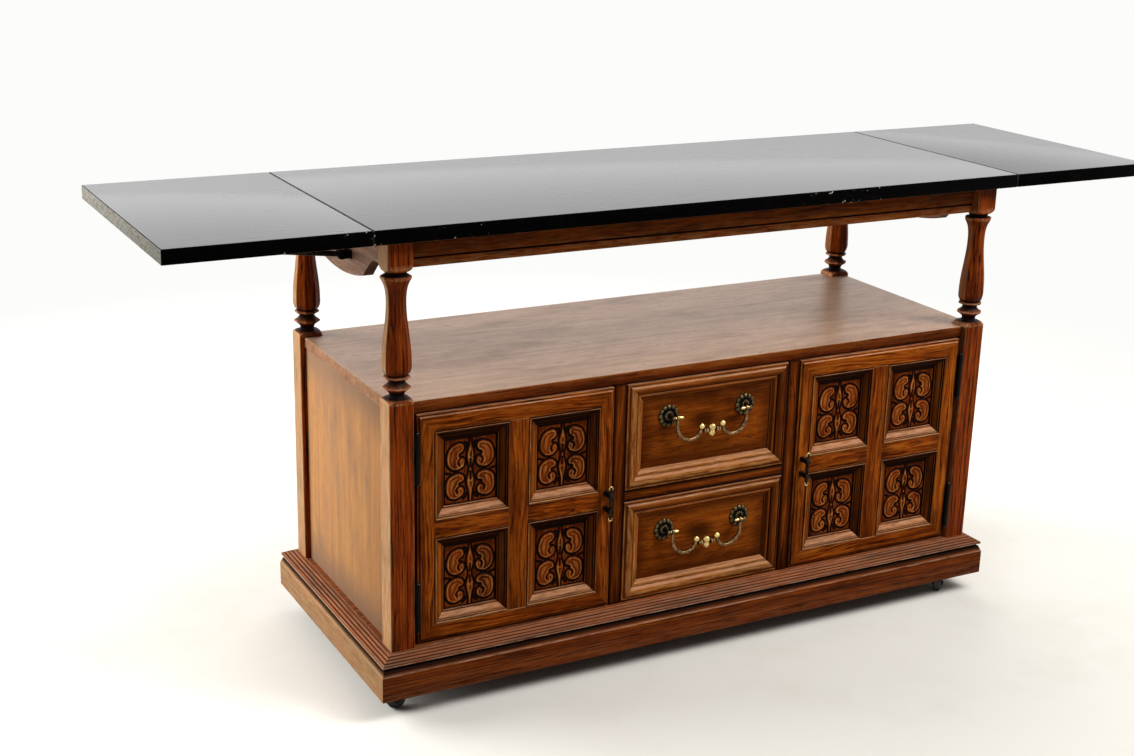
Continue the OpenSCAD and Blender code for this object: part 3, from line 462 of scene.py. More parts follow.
def oak(name, dark, mid, light, wear_and_highlight, gloss=0.42, wear=0.6, shade=0.5, line=0.75, shine=0.02, dust=0.0,
        edge_shade=0.0, reach=0.045, window_light=0.0, width=1.0, bend=1.0, calm=0.0, chafe=1.0, stain=0.0):
    """Stained open-grained wood with paler rubbed edges; tone below zero paints shade, and tone above zero
    paints highlights, partly wear.

    shade darkens a board towards its ends, partly an antique shading of the finish and partly painted shade;
    edge_shade paints shade towards all its edges, over the distance reach.
    dust lies on faces that look up, with a painted glare of the overhead light on them, and window_light
    paints the light of the window, as a pale tan, on faces that look to -X.
    width and bend set the spacing and sway of the grain, calm evens out its broad figure.
    chafe is the wear of a board's own edges, stain the strength of a dark spot above its middle.
    """
    s = Shader(name)
    v = s.attribute("wood")
    figure, lines, pale, pores = grain(s, v, width, bend)
    figure = s.span(figure, 0.25 - calm, 0.78 + calm, smooth=False)
    colour = s.ramp(figure, (0.0, dark), (0.45, mid), (1.0, light))
    colour = s.mix(s.times(pale, 0.6 * line), colour, linear(light))
    colour = s.mix(s.times(lines, line), colour, linear(dark))
    cloud = s.noise(s.scaled(v, (7.0, 20.0, 20.0)), 1.0, 4.0, 0.6)
    colour = s.mix(s.span(cloud, 0.45, 0.75, 0.0, 0.7), colour, linear(dark))
    colour = s.mix(s.times(pores, 0.5), colour, linear(dark))
    rim, end = edges(s)
    # Darker towards a board's ends and edges: partly an antique shading of the finish, partly painted shade
    # in corners, under the shelf, beside the drawer fronts and against frames.
    antique = s.times(s.span(end, 0.4, 0.0), shade)
    antique = s.math("MAXIMUM", antique, s.times(s.span(rim, reach, 0.0), edge_shade))
    colour = s.mix(antique, colour, linear(dark))
    patchy = s.noise(s.scaled(v, (30.0, 220.0, 220.0)), 1.0, 4.0, 0.7)
    across, _, up = s.normal()
    # Painted window light: faces that look to -X turn a pale tan, more so towards the left end of the
    # cabinet.
    window_side = s.span(s.split(s.object_place())[0], 0.35, -0.25, 0.3 * window_light, window_light)
    window_lit = s.times(s.span(across, -0.75, -0.97), s.span(patchy, 0.3, 0.7, 1.0, 0.5))
    colour = s.mix(s.times(window_lit, window_side), colour, linear(WINDOW_LIT_TAN))
    # Faces that look up: dust, with a painted glare of the overhead light on them.
    ledge_dust_and_glare = s.times(s.span(up, 0.2, 0.5), s.span(patchy, 0.62, 0.38, 0.3 * dust, dust))
    colour = s.mix(ledge_dust_and_glare, colour, linear(LEDGE_DUST_AND_GLARE))
    # A dark spot above the middle of the board.
    if stain:
        spot = s.vector("SUBTRACT", s.attribute("place"), (-0.006, 0.0, 0.011))
        spot = s.scaled(spot, (30.0, 0.0, 58.0))
        spot = s.math("MULTIPLY_ADD", cloud, 0.8, s.vector("LENGTH", spot))
        colour = s.mix(s.span(spot, 1.8, 0.6, 0.0, stain), colour, linear(DARK_SPOT))
    # Tone below zero paints shade into grooves, coves and recesses.
    tone = s.attribute("tone", "Fac")
    recess_shade = s.times(tone, -1.0, clamp=True)
    colour = s.mix(recess_shade, colour, linear(RECESS_SHADE))
    # Rubbed board edges are wear; tone above zero paints highlights on ridges and beads, partly wear, in the
    # pale colour.
    rubbed = s.times(s.span(rim, 0.0018, 0.0003, 0.0, chafe), s.span(patchy, 0.40, 0.58))
    painted_highlight_and_wear = s.times(s.math("MAXIMUM", tone, 0.0), s.span(patchy, 0.36, 0.62, 0.05, 1.0))
    pale_wear_and_highlight = s.times(s.math("MAXIMUM", rubbed, painted_highlight_and_wear), wear, clamp=True)
    colour = s.mix(pale_wear_and_highlight, colour, linear(wear_and_highlight))
    rough = s.math("ADD", s.times(pores, 0.18), s.math("MULTIPLY_ADD", cloud, 0.16, gloss - 0.08))
    s.set(Base_Color=colour, Specular_IOR_Level=shine, Roughness=rough)
    s.bump(s.math("ADD", s.times(lines, -0.6), s.times(pores, -1.0)), 0.7, 0.00012)
    return s.material


def laminate():
    """Black satin laminate: faint streaks of wear, mottled dust, and a painted sheen of pale grey for the
    reflection of the bright room, stronger towards the front left.
    """
    s = Shader("laminate_face")
    v = s.object_place()
    dust = s.noise(s.scaled(v, (3.0, 9.0, 9.0)), 1.0, 5.0, 0.6)
    streak = s.noise(s.scaled(v, (7.0, 180.0, 10.0)), 1.0, 3.0, 0.6)
    colour = s.ramp(dust, (0.25, "#232324"), (0.6, "#2e2e30"), (0.8, "#3a3a3c"))
    # Painted sheen: a pale grey for the reflection of the bright room, stronger towards the front left.
    toward = s.scaled(v, (0.47, 0.88, 0.0))
    across, deep, _ = s.split(toward)
    painted_sheen = s.span(s.math("ADD", across, deep), 0.60, -0.60, 0.0, 0.68, smooth=False)
    colour = s.mix(painted_sheen, colour, linear("#7b7b7c"))
    s.set(Base_Color=colour, Specular_IOR_Level=1.0, Coat_Weight=0.45, Coat_Roughness=0.25)
    rough = s.math("ADD", s.math("MULTIPLY_ADD", dust, 0.12, 0.2), s.times(streak, 0.03))
    s.set(Roughness=rough)
    s.bump(s.noise(v, 900.0, 2.0, 0.5), 0.15, 0.0001)
    return s.material


def edge_band():
    """Black edge band with scuffs and chips that show the pale core along its lower edge; on ends that look
    to -X, pale mottled scuffs carry the painted light of the window.
    """
    s = Shader("laminate_edge")
    v = s.object_place()
    rim, _ = edges(s)
    scuff = s.noise(s.scaled(v, (26.0, 40.0, 60.0)), 1.0, 6.0, 0.75)
    colour = s.mix(s.span(scuff, 0.55, 0.8), linear("#030202"), linear("#0f0d0c"))
    chip = s.times(s.span(s.noise(v, 170.0, 2.0, 0.6), 0.665, 0.69), s.span(rim, 0.006, 0.003))
    across, deep, _ = s.normal()
    chip = s.times(chip, s.span(s.math("ABSOLUTE", deep), 0.5, 0.9))
    chip = s.times(chip, s.span(s.noise(v, 3.1, 1.0, 0.5), 0.52, 0.56))
    colour = s.mix(chip, colour, linear("#c9bfae"))
    speck = s.noise(v, 260.0, 4.0, 0.75)
    # Faces that look to -X: pale mottled scuffs, with painted light of the window.
    lit_end_scuffs = s.times(s.span(across, -0.8, -0.97), s.span(speck, 0.66, 0.48, 0.25, 0.95))
    colour = s.mix(lit_end_scuffs, colour, s.ramp(scuff, (0.35, "#6d6c60"), (0.5, "#83827a"), (0.65, "#75675a")))
    s.set(Base_Color=colour, Specular_IOR_Level=0.01)
    s.set(Roughness=s.span(scuff, 0.3, 0.8, 0.30, 0.62))
    s.bump(s.math("SUBTRACT", scuff, chip), 0.3, 0.0003)
    return s.material


def underside():
    s = Shader("board_underside")
    v = s.object_place()
    chips = s.cells(s.scaled(v, (1.0, 1.0, 1.0)), 260.0)
    colour = s.ramp(s.noise(v, 120.0, 4.0, 0.7), (0.3, "#4b3523"), (0.5, "#6b4e34"), (0.7, "#84644a"))
    s.set(Base_Color=colour, Roughness=0.8)
    s.bump(chips, 0.3, 0.0003)
    return s.material


def metal(name, dark, light, rough, metallic=1.0, wear=0.6, scale=160.0, shine=0.5):
    """Cast or plated metal with dark antique recesses and rubbed high places."""
    s = Shader(name)
    v = s.object_place()
    stain = s.noise(v, scale, 5.0, 0.65)
    tone = s.attribute("tone", "Fac")
    raised = s.math("ADD", s.span(stain, 0.35, 0.7, 0.0, 0.55), s.times(tone, wear), clamp=True)
    s.set(Base_Color=s.mix(raised, linear(dark), linear(light)), Metallic=metallic, Specular_IOR_Level=shine)
    s.set(Roughness=s.span(stain, 0.3, 0.7, rough - 0.08, rough + 0.14))
    s.bump(s.noise(v, scale * 4, 3.0, 0.6), 0.25, 0.00015)
    return s.material


def rubber():
    s = Shader("caster_black")
    v = s.object_place()
    dust = s.noise(v, 90.0, 5.0, 0.7)
    s.set(Base_Color=s.mix(s.span(dust, 0.45, 0.75), linear("#050505"), linear("#1b1917")))
    s.set(Roughness=s.span(dust, 0.3, 0.8, 0.45, 0.8))
    s.bump(dust, 0.3, 0.0003)
    return s.material


FRONT_OAK = oak("front_oak", "#2f0e03", "#8c3d0b", "#c26f20", "#dca660", dust=0.75, shade=0.35, line=0.9,
                chafe=0.25, width=1.3, calm=0.07)
MOULD_OAK = oak("mould_oak", "#2f0e03", "#87400f", "#bb6c22", "#e8ab66", dust=0.7, shade=0.3, line=0.5,
                calm=0.08, wear=0.8, bend=0.4)
# Drawer fields: painted shade towards the frame round them.
FIELD_OAK = oak("field_oak", "#2f0f03", "#88400c", "#aa5c1a", "#d8a468", wear=0.0, shade=0.0, edge_shade=0.6,
                reach=0.03, stain=0.8, line=0.45, calm=0.1)
RAIL_OAK = oak("rail_oak", "#2a0c02", "#76300a", "#98500f", "#c08a54", shade=0.1, chafe=0.3)
# Stiles and drawer rail: painted shadow of the drawer fronts towards their edges.
STILE_OAK = oak("stile_oak", "#200a02", "#7a350a", "#a8581a", "#d8a468", wear=0.0, edge_shade=1.0, reach=0.010)
# Posts: the window's light is painted on their -X faces.
POST_OAK = oak("post_oak", "#2c0d02", "#843408", "#aa5213", "#d2a878", shade=0.0, dust=0.3, window_light=0.8,
               line=1.0, shine=0.05, calm=0.14, bend=0.35, width=1.5)
SHELF_OAK = oak("shelf_oak", "#765a46", "#a88368", "#bb997c", "#cfa67c", gloss=0.3, shade=0.1, line=0.45,
                shine=0.45, bend=0.25, calm=0.1)
BAND_OAK = oak("band_oak", "#2e0e03", "#6a2a09", "#8a4710", "#b57f4c", shade=0.1, bend=0.5)
END_OAK = oak("end_oak", "#5e3a26", "#91674a", "#ab8465", "#c9a888", shade=0.0, line=0.35)
# End aprons: painted pale, standing for the window's light on them.
WINDOW_LIT_APRON_OAK = oak("window_lit_apron_oak", "#64493a", "#957360", "#ae8e76", "#c5a78a", shade=0.2, line=0.35)
SIDE_OAK = oak("side_oak", "#4f2a12", "#94592a", "#ad6f38", "#c99a66", gloss=0.5, shade=0.5, line=0.35,
               bend=0.5, calm=0.05)
# Left side panel: a pale copy of the side oak with the window's light painted in, darker towards its top and
# foot, the top as painted shade under the shelf.
WINDOW_LIT_OAK = oak("window_lit_oak", "#7f6450", "#a8774a", "#b98a5a", "#d8b187", gloss=0.5, shade=0.9, line=0.18,
                bend=0.5, calm=0.1)
# Base: the window's light is painted on its -X faces.
BASE_OAK = oak("base_oak", "#260d04", "#78340e", "#965019", "#b8957a", wear=0.9, shade=0.2, dust=0.12,
               window_light=0.6, bend=0.4, calm=0.05, line=0.9)
CARVED_OAK = oak("carved_oak", "#2a0b02", "#84360a", "#b35c18", "#d8924c", wear=1.0, shade=0.0, line=0.3)
INNER_WOOD = oak("inner_wood", "#7a5a3c", "#a27f58", "#bd9b72", "#c9ab84", gloss=0.6, wear=0.2, shade=0.1)
LAMINATE = laminate()
EDGE_BAND = edge_band()
UNDERSIDE = underside()
IRON = metal("dark_iron", "#0b0a08", "#3c362c", 0.42)
BLACK_IRON = metal("black_iron", "#040302", "#15110e", 0.5, metallic=0.0, shine=0.06)
BRASS = metal("antique_brass", "#1e120a", "#b38e62", 0.26, wear=0.9)
BRASS_DARK = metal("rosette_brass", "#0b0907", "#6a5a3b", 0.34, wear=0.6)
BRIGHT_BRASS = metal("bright_brass", "#8a6a30", "#e3c783", 0.22, wear=0.6)
NICKEL = metal("rubbed_nickel", "#55534f", "#c9c6bd", 0.28)
STEEL = metal("dull_steel", "#121111", "#3b3937", 0.5)
RUBBER = rubber()


# Top boards

def top_board(name, body):
    lo, hi = box(name)
    s = Shape()
    board(s, lo, hi, along=0, edge=1.7 * MM)
    co = s.co[0]
    s.slots = []
    for f in s.faces:
        p = co[list(f)]
        normal = np.cross(p[1] - p[0], p[2] - p[0])
        normal /= np.linalg.norm(normal)
        s.slots.append(0 if normal[2] > 0.95 else 2 if normal[2] < -0.5 else 1)
    build(name + "_board", s, [LAMINATE, EDGE_BAND, UNDERSIDE], body, [name])


# Posts: one turned form from the base panel to the top

def square_radius(angle, half, arris):
    """Radius of a square with rounded corners in a direction."""
    a = abs((angle + math.pi / 4) % (math.pi / 2) - math.pi / 4)
    flat = half / math.cos(a)
    inner = half - arris
    if flat * math.sin(a) <= inner:
        return flat
    b = inner * (math.cos(a) + math.sin(a))
    return b + math.sqrt(max(b * b - 2 * inner * inner + arris * arris, 0))


def octagon_radius(angle, half, soft):
    """Radius of an octagon with its flats to the sides, corners drawn in a little."""
    a = abs((angle + math.pi / 8) % (math.pi / 4) - math.pi / 8)
    return half * min(1 / math.cos(a), 1 / math.cos(math.pi / 8) * (1 - soft))


POST_ANGLES = sorted({round(q * 90 + a, 3) % 360 for q in range(4) for a in
                      (0, 10, 18, 21.6, 22.5, 23.4, 28, 34, 38, 40, 41.5, 43, 45, 47, 48.5, 50, 52, 56, 62,
                       66.6, 67.5, 68.4, 72, 80)})


SQUARE_FROM = 0.0195  # half width, in metres, above which a row of kind 0 is square and not round


def post_rows(lo, hi, shoulder, top):
    """Rows of a post: (height, square half width, turned radius, kind, tone). Kinds: square, octagon."""
    half = (hi[0] - lo[0]) / 2 - 1 * MM
    rows = []

    def square(z, turned, tone=0.0):
        rows.append((z, half, turned, 0, tone))

    def turned(z, width, facet=1, tone=0.0):
        rows.append((z, width / 2 * MM, 1.0, facet, 0.85 * tone - 0.15))

    square(lo[2], 1.0)
    square(lo[2] + 0.001, 1.0)
    square(shoulder - 0.0085, 1.0)
    # Tones paint shade in the coves and highlights on the beads, partly wear; turned rows are shaded a
    # little darker overall.
    foot = ((-8, 28.5, 0.2), (-6.2, 28.0, 0.6), (-4.4, 27.0, 0.5), (-2.8, 25.4, 0.1), (-1.2, 22.8, -0.3),
            (0, 19.0, -0.9))
    for z, r, tone in foot:
        square(shoulder + z * MM, r * MM, tone)
    low = ((0.4, 27, 0, -1), (2, 25, 0, -1), (6, 23.6, 0, -1), (10, 27, 0, -0.9), (12.5, 33, .4, -0.6),
           (14.6, 38.5, .6, -0.4), (15.6, 41, .8, 0.3), (17, 42.4, 1, 0.9), (18.4, 41, .8, 0.1),
           (19.6, 37, .6, -0.5), (22, 31, .3, -0.8), (25.5, 26.6, 0, -1), (28, 26, 0, -1), (30, 29, .2, -1),
           (31.2, 35, .6, -0.6), (32.2, 38.8, .8, 0.0), (33.6, 40, 1, 0.8), (35, 38.6, .8, 0.0),
           (36, 35, .8, -0.7), (37, 33, .8, -1), (38.2, 34.6, 1, -0.9), (40.5, 38.6, 1, -0.4),
           (44, 41.4, 1, -0.1), (49, 43.2, 1, 0.0), (53, 43.4, 1, 0.0), (58, 43, 1, 0.0))
    for up, width, facet, tone in low:
        turned(shoulder + up * MM, width, facet, tone)
    bulb_z = shoulder + 58 * MM
    waist_z = top - 48 * MM
    for i in range(1, 13):
        t = i / 12
        turned(bulb_z + (waist_z - bulb_z) * t, 43 - 14.2 * (1 - math.cos(math.pi * t)) / 2, 1, 0.0)
    high = ((-42, 29.0, 1, 0), (-36, 29.8, 1, 0), (-30, 31.2, 1, 0), (-25, 33.2, 1, 0), (-20, 36.4, 1, -0.1),
            (-16.5, 39.4, 1, -0.1), (-13.6, 42.6, 1, 0.1), (-11.6, 44.4, 1, 0.7), (-10, 45.2, 1, 0.7),
            (-8.4, 44.8, .9, 0.0), (-7.4, 42.4, .7, -0.6), (-6.8, 36, .4, -1), (-5.4, 32.5, 0, -1),
            (-3.2, 33, 0, -1), (-1.6, 35, 0, -1), (-0.6, 37.5, 0, -0.9))
    for up, width, facet, tone in high:
        turned(top + up * MM, width, facet, tone)
    cap = ((0, 19.4, -0.6), (1.2, 22.6, -0.2), (3, 24.8, 0.3), (5.4, 26.6, 0.5), (8, 27.8, 0.3),
           (11, 28.6, 0.1))
    for z, r, tone in cap:
        square(top + z * MM, r * MM, tone)
    square(top + 0.0115, 1.0)
    square(hi[2] - 0.001, 1.0)
    square(hi[2], 1.0)
    return rows


def post(name):
    lo, hi = box(name)
    cx, cy, _ = middle_of(lo, hi)
    shelf = box("cabinet_top")[1][2]
    shoulder = shelf + 8 * MM
    head = hi[2] - 49 * MM
    rows = post_rows(lo, hi, shoulder, head)
    angles = [math.radians(a) for a in POST_ANGLES]
    co = []
    tones = []
    for z, half, turn, kind, tone in rows:
        for a in angles:
            if turn < 1 or kind == 0 and half > SQUARE_FROM:
                r = min(square_radius(a, half, 3 * MM), turn)
            else:
                r = half + (octagon_radius(a, half, 0.006) - half) * kind
            co.append((cx + r * math.cos(a), cy + r * math.sin(a), z))
            tones.append(tone)
    co = np.array(co)
    wood = np.stack([co[:, 2], co[:, 0] - cx, co[:, 1] - cy], 1) + grain_shift()
    square_part = np.array([kind == 0 and turn >= 1 for _, _, turn, kind, _ in rows for _ in angles])
    half_w = (hi[0] - lo[0]) / 2 - 1 * MM
    place = np.stack([np.zeros(len(co)), co[:, 0] - cx, co[:, 1] - cy], 1)
    half = np.where(square_part[:, None], (NO_EDGE, half_w, half_w), (NO_EDGE,) * 3)
    s = Shape()
    s.add(co, closed_rings(len(rows), len(angles)), wood, place, half, tones)
    build("turned_" + name, s, [POST_OAK], "cabinet", [name], crease=32)


# Doors

def door(side):
    body = "door_" + side
    lo, hi = box(body + "_frame")
    front = lo[1]
    tiles = solids(body + "_tiles")
    bevel = 19.5 * MM
    xs = sorted({round(float(t[0][0] - bevel), 5) for t in tiles})
    zs = sorted({round(float(t[0][2] - bevel), 5) for t in tiles})
    wide = tiles[0][1][0] - tiles[0][0][0] + 2 * bevel
    high = tiles[0][1][2] - tiles[0][0][2] + 2 * bevel
    s = Shape()
    step = 4.5 * MM
    stile_l = xs[0] - lo[0]
    stile_r = hi[0] - (xs[1] + wide)
    rail_low = zs[0] - lo[2]
    rail_high = hi[2] - (zs[1] + high)
    corners = [(lo[0], lo[2]), (hi[0], lo[2]), (hi[0], hi[2]), (lo[0], hi[2])]
    inner = [(xs[0], zs[0]), (xs[1] + wide, zs[0]), (xs[1] + wide, zs[1] + high), (xs[0], zs[1] + high)]
    depth = hi[1] - lo[1]
    rise = ((0, -depth), (0, -3.2 * MM), (0.5 * MM, -2.6 * MM), (step - 0.8 * MM, -2.2 * MM),
            (step, -0.5 * MM), (step + 0.9 * MM, 0), (step + 2.2 * MM, 0))
    # Tones paint shade in the steps of the frame's edge and highlights on its rounds, partly wear; the inner
    # edge by the openings gets painted shade.
    tone = (0, -0.5, 0.25, -0.7, 0.1, 0.3, 0.0)
    for k in range(4):
        a, b = np.array(corners[k]), np.array(corners[(k + 1) % 4])
        ia, ib = np.array(inner[k]), np.array(inner[(k + 1) % 4])
        run = (b - a) / np.linalg.norm(b - a)
        width = (stile_l, stile_r, rail_low, rail_high)[(2, 1, 3, 0)[k]]
        loops = [(d / width, y) for d, y in rise]
        loops += [(1 - 2 * MM / width, 0), (1 - 0.8 * MM / width, 0), (1, -0.8 * MM), (1, -depth)]
        tones = tone + (0.0, 0.1, 0.0, -0.5)
        ends = []
        for p, q in ((a, ia), (b, ib)):
            ends.append(np.array([(*(p + (q - p) * d), y) for d, y in loops])[:, [0, 2, 1]] * (1, -1, 1)
                        + (0, front, 0))
        co = np.concatenate(ends)
        n = len(loops)
        faces = [(i + 1, n + i + 1, n + i, i) for i in range(n - 1)]
        along = co[:, 0] * run[0] + co[:, 2] * run[1]
        across = co[:, 0] * run[1] + co[:, 2] * run[0]
        wood = np.stack([along, across, co[:, 1]], 1) + grain_shift()
        place = lengthwise(along - middle_of(a, b) @ run)
        s.add(co, faces, wood, place, (np.linalg.norm(b - a) / 2, NO_EDGE, NO_EDGE), np.tile(tones, 2))
    mid_x = (xs[0] + wide, xs[1])
    mid_z = (zs[0] + high, zs[1])
    back = hi[1]
    board(s, (mid_x[0], front, inner[0][1]), (mid_x[1], back, inner[2][1]), along=2, edge=0.7 * MM)
    board(s, (inner[0][0], front, mid_z[0]), (mid_x[0], back, mid_z[1]), along=0, edge=0.7 * MM)
    board(s, (mid_x[1], front, mid_z[0]), (inner[1][0], back, mid_z[1]), along=0, edge=0.7 * MM)
    build(body + "_boards", s, [FRONT_OAK], body, [body + "_frame"])
    m = Shape()
    profile = np.array([(0, -2), (0.5, 0.2), (1.2, 1.2), (2.0, 1.5), (2.9, 1.2), (3.4, 0.2), (4.2, -0.9),
                        (4.9, -0.7), (5.6, -0.8), (6.0, -1.8), (7.5, -2.4), (9.5, -3.5), (11.5, -5.0),
                        (14.0, -6.9), (15.6, -8.2), (16.4, -7.9), (18.2, -7.9), (19.0, -8.6),
                        (19.5, -10.5)]) * MM
    # Tones paint shade in the grooves of the bevels and highlights on their beads, partly wear.
    tones = (-1, -0.9, 0.3, 0.8, 0.3, -0.9, -1, 0.3, 0.3, -1, -0.2, 0, 0, 0, -0.6, -0.1, -0.1, -0.8, -1)
    # Per-side tones: painted light on the bottom slopes, painted shade on the right and top ones.
    painted_side_light = (0.15, -0.55, -0.85, 0.0)
    for x in xs:
        for z in zs:
            mitred_frame(m, (x, z), (x + wide, z + high), front, profile, tones, painted_side_light)
    build(body + "_bevels", m, [MOULD_OAK], body, [body + "_mouldings"])
    carved_tiles(body, tiles)


# Carved relief: grooves drawn for the left half of a tile, mirrored to the right.
# Points are (from the left edge, from the top edge) as shares of the tile.
UPPER_KIDNEY = ((.19, .09), (.29, .07), (.37, .10), (.39, .17), (.35, .225), (.30, .245), (.295, .28),
                (.345, .295), (.39, .325), (.405, .38), (.37, .45), (.28, .49), (.17, .485), (.075, .42),
                (.04, .31), (.07, .19), (.12, .125), (.19, .09))
UPPER_HOOK = ((.345, .30), (.295, .325), (.27, .37), (.29, .415))
LOWER_KIDNEY = ((.14, .555), (.25, .53), (.355, .56), (.395, .625), (.36, .675), (.305, .685), (.29, .71),
                (.325, .735), (.375, .77), (.385, .83), (.34, .895), (.21, .935), (.09, .90), (.035, .81),
                (.03, .70), (.06, .61), (.14, .555))
LOWER_HOOK = ((.315, .735), (.26, .755), (.235, .795), (.255, .835))
STRAP = ((.480, .0), (.478, .06), (.470, .12), (.445, .19), (.425, .26), (.43, .34), (.450, .41),
         (.466, .47), (.460, .53), (.435, .60), (.418, .67), (.428, .74), (.452, .82), (.466, .90),
         (.470, 1.0))
ALMOND_CORE = ((.50, .34), (.50, .46))
VASE_CORE = ((.50, .53), (.50, .64))
TOP_CURL = ((.385, .075), (.425, .09), (.435, .125), (.415, .16))
FOOT_CURL = ((.36, .935), (.405, .905), (.42, .86))
LEFT_EDGE = ((.0, .50), (.05, .515), (.12, .53))
GROOVES = (UPPER_KIDNEY, UPPER_HOOK, LOWER_KIDNEY, LOWER_HOOK, STRAP, ALMOND_CORE, VASE_CORE, TOP_CURL,
           FOOT_CURL, LEFT_EDGE)


def smooth_curve(points, steps=6):
    """Catmull-Rom curve through points."""
    p = np.array(points)
    closed = np.allclose(p[0], p[-1])
    before = p[-2] if closed else 2 * p[0] - p[1]
    after = p[1] if closed else 2 * p[-1] - p[-2]
    ext = np.concatenate([[before], p, [after]])
    out = []
    for i in range(len(p) - 1):
        a, b, c, d = ext[i:i + 4]
        for k in range(steps):
            t = k / steps
            bend = (2 * a - 5 * b + 4 * c - d) * t * t
            twist = (3 * b - a - 3 * c + d) * t ** 3
            out.append(0.5 * (2 * b + (c - a) * t + bend + twist))
    return np.array(out + [p[-1]])


def groove_distance(x, y, wide, high):
    """Distance of grid points from the nearest groove, in metres."""
    best = np.full(x.shape, 1.0)
    for groove in GROOVES:
        line = smooth_curve(groove)
        for flip in (False, True):
            px = ((1 - line[:, 0]) if flip else line[:, 0]) * wide
            py = line[:, 1] * high
            for i in range(len(px) - 1):
                dx, dy = px[i + 1] - px[i], py[i + 1] - py[i]
                t = np.clip(((x - px[i]) * dx + (y - py[i]) * dy) / (dx * dx + dy * dy + 1e-12), 0, 1)
                best = np.minimum(best, np.hypot(x - px[i] - t * dx, y - py[i] - t * dy))
    return best


def raised_forms(x, y, wide, high):
    """True where a grid point lies inside a kidney or between the two middle straps."""
    inside = np.zeros(x.shape, bool)
    mirrored = np.minimum(x, wide - x) / wide
    for outline in (UPPER_KIDNEY, LOWER_KIDNEY):
        line = smooth_curve(outline)
        for (ax, ay), (bx, by) in zip(line[:-1], line[1:]):
            level = y / high
            crosses = (ay > level) != (by > level)
            reach = ax + (level - ay) * (bx - ax) / (by - ay if by != ay else 1.0)
            inside ^= crosses & (mirrored < reach)
    strap = smooth_curve(STRAP)
    return inside | (mirrored > np.interp(y / high, strap[:, 1], strap[:, 0]))


def relief_grid(wide, high, pitch=0.9 * MM):
    """Heights and tones of the carving over a tile; the tones paint shade in the grooves, hollows, ground
    and border, and highlights on rims that face the lower left.
    """
    nx = int(wide / pitch) + 1
    ny = int(high / pitch) + 1
    x, y = np.meshgrid(np.linspace(0, wide, nx), np.linspace(0, high, ny))
    d = groove_distance(x, y, wide, high)
    border = np.minimum(np.minimum(x, wide - x), np.minimum(y, high - y))
    swell = 1 - np.exp(-(d / (2.3 * MM)) ** 2)
    rim = np.clip(border / (2.5 * MM), 0, 1)
    dish = np.clip((d - 3.2 * MM) / (2.6 * MM), 0, 1)
    form = raised_forms(x, y, wide, high)
    height = (0.2 + np.where(form, 3.2, 1.5) * swell * (1 - 0.35 * dish)) * rim
    # Rims that face the lower left get painted highlights, partly wear.
    down, across = np.gradient(height)
    lower_left = (across - down) / (np.abs(across) + np.abs(down) + 0.1)
    wear_and_highlight = np.clip(0.55 + 0.55 * lower_left, 0.1, 1)
    band = wear_and_highlight * np.exp(-((d - 3.2 * MM) / (1.5 * MM)) ** 2)
    # Painted shade in the grooves, in the hollows of the kidneys and on the ground between the forms.
    hollow = 0.5 * np.exp(-((d - 6.2 * MM) / (1.4 * MM)) ** 2)
    body = 0.3 * np.clip((d - 7.0 * MM) / (3.0 * MM), 0, 1)
    ground = -0.6 + 0.8 * band
    tone = np.where(form, 1.4 * band - hollow + body, ground) - 1.4 * np.exp(-(d / (1.9 * MM)) ** 2)
    # Painted shade along the tile's border.
    tone = np.where(border < 2.2 * MM, -1.0, tone)
    return x, y, height * MM, tone


def carved_tiles(body, tiles):
    s = Shape()
    wide = tiles[0][1][0] - tiles[0][0][0]
    high = tiles[0][1][2] - tiles[0][0][2]
    x, y, height, tone = relief_grid(wide, high)
    ny, nx = x.shape
    faces = []
    for j in range(ny - 1):
        for i in range(nx - 1):
            k = j * nx + i
            faces.append((k, k + nx, k + nx + 1, k + 1))
    for lo, hi in tiles:
        co = np.stack([lo[0] + x, lo[1] - height, hi[2] - y], 2).reshape(-1, 3)
        s.add(co, faces, co[:, [2, 0, 1]] + grain_shift(), tone=tone.ravel())
        board(s, (lo[0], lo[1] + 0.2 * MM, lo[2]), hi, along=2, edge=0.2 * MM)
    build(body + "_carving", s, [CARVED_OAK], body, [body + "_tiles"], crease=60)


# Drawers

def drawer(which):
    body = "drawer_" + which
    lo, hi = box(body + "_front")
    front = lo[1]
    s = Shape()
    frame_w = 32 * MM
    lap = 3 * MM
    field_lo = (lo[0] + lap, front + 9 * MM, lo[2] + lap)
    board(s, field_lo, (hi[0] - lap, hi[1], hi[2] - lap), along=0, slot=1)
    s.half[-1] = s.half[-1] - (frame_w - lap)
    profile = np.array([(0, -19.5), (0, -3.6), (0.6, -3.0), (4.6, -2.6), (5.4, -1.6), (6.6, -0.6),
                        (9, -0.05), (11.5, 0), (14, -0.3), (16.5, -1.3), (18.6, -2.9), (19.8, -4.3),
                        (20.6, -4.6), (21.4, -4.2), (24.5, -4.2), (25.6, -4.8), (27, -6.2), (29, -7.4),
                        (30.6, -7.6), (31.2, -8.2), (32, -9.4)]) * MM
    # Tones paint shade in the hollows of the frame and highlights on its rounds, partly wear.
    tones = (-0.6, -0.4, 0.3, -0.7, -0.4, 0.2, 0.2, 0.1, 0, 0, -0.2, -0.7, -0.7, 0.2, 0.1, -0.1, -0.2, -0.3,
             0.1, -0.4, -1)
    # Per-side tones: painted light on the bottom and left runs, painted shade on the right one.
    mitred_frame(s, (lo[0], lo[2]), (hi[0], hi[2]), front, profile, tones, painted_side_light=(0.4, -0.45, 0.0, 0.3))
    build(body + "_face", s, [MOULD_OAK, FIELD_OAK], body, [body + "_front"])
    b = Shape()
    for part in solids(body + "_box"):
        board(b, *part)
    build(body + "_carcass", b, [INNER_WOOD], body, [body + "_box"])
    rosette_pair(which)
    bail_pull(which)


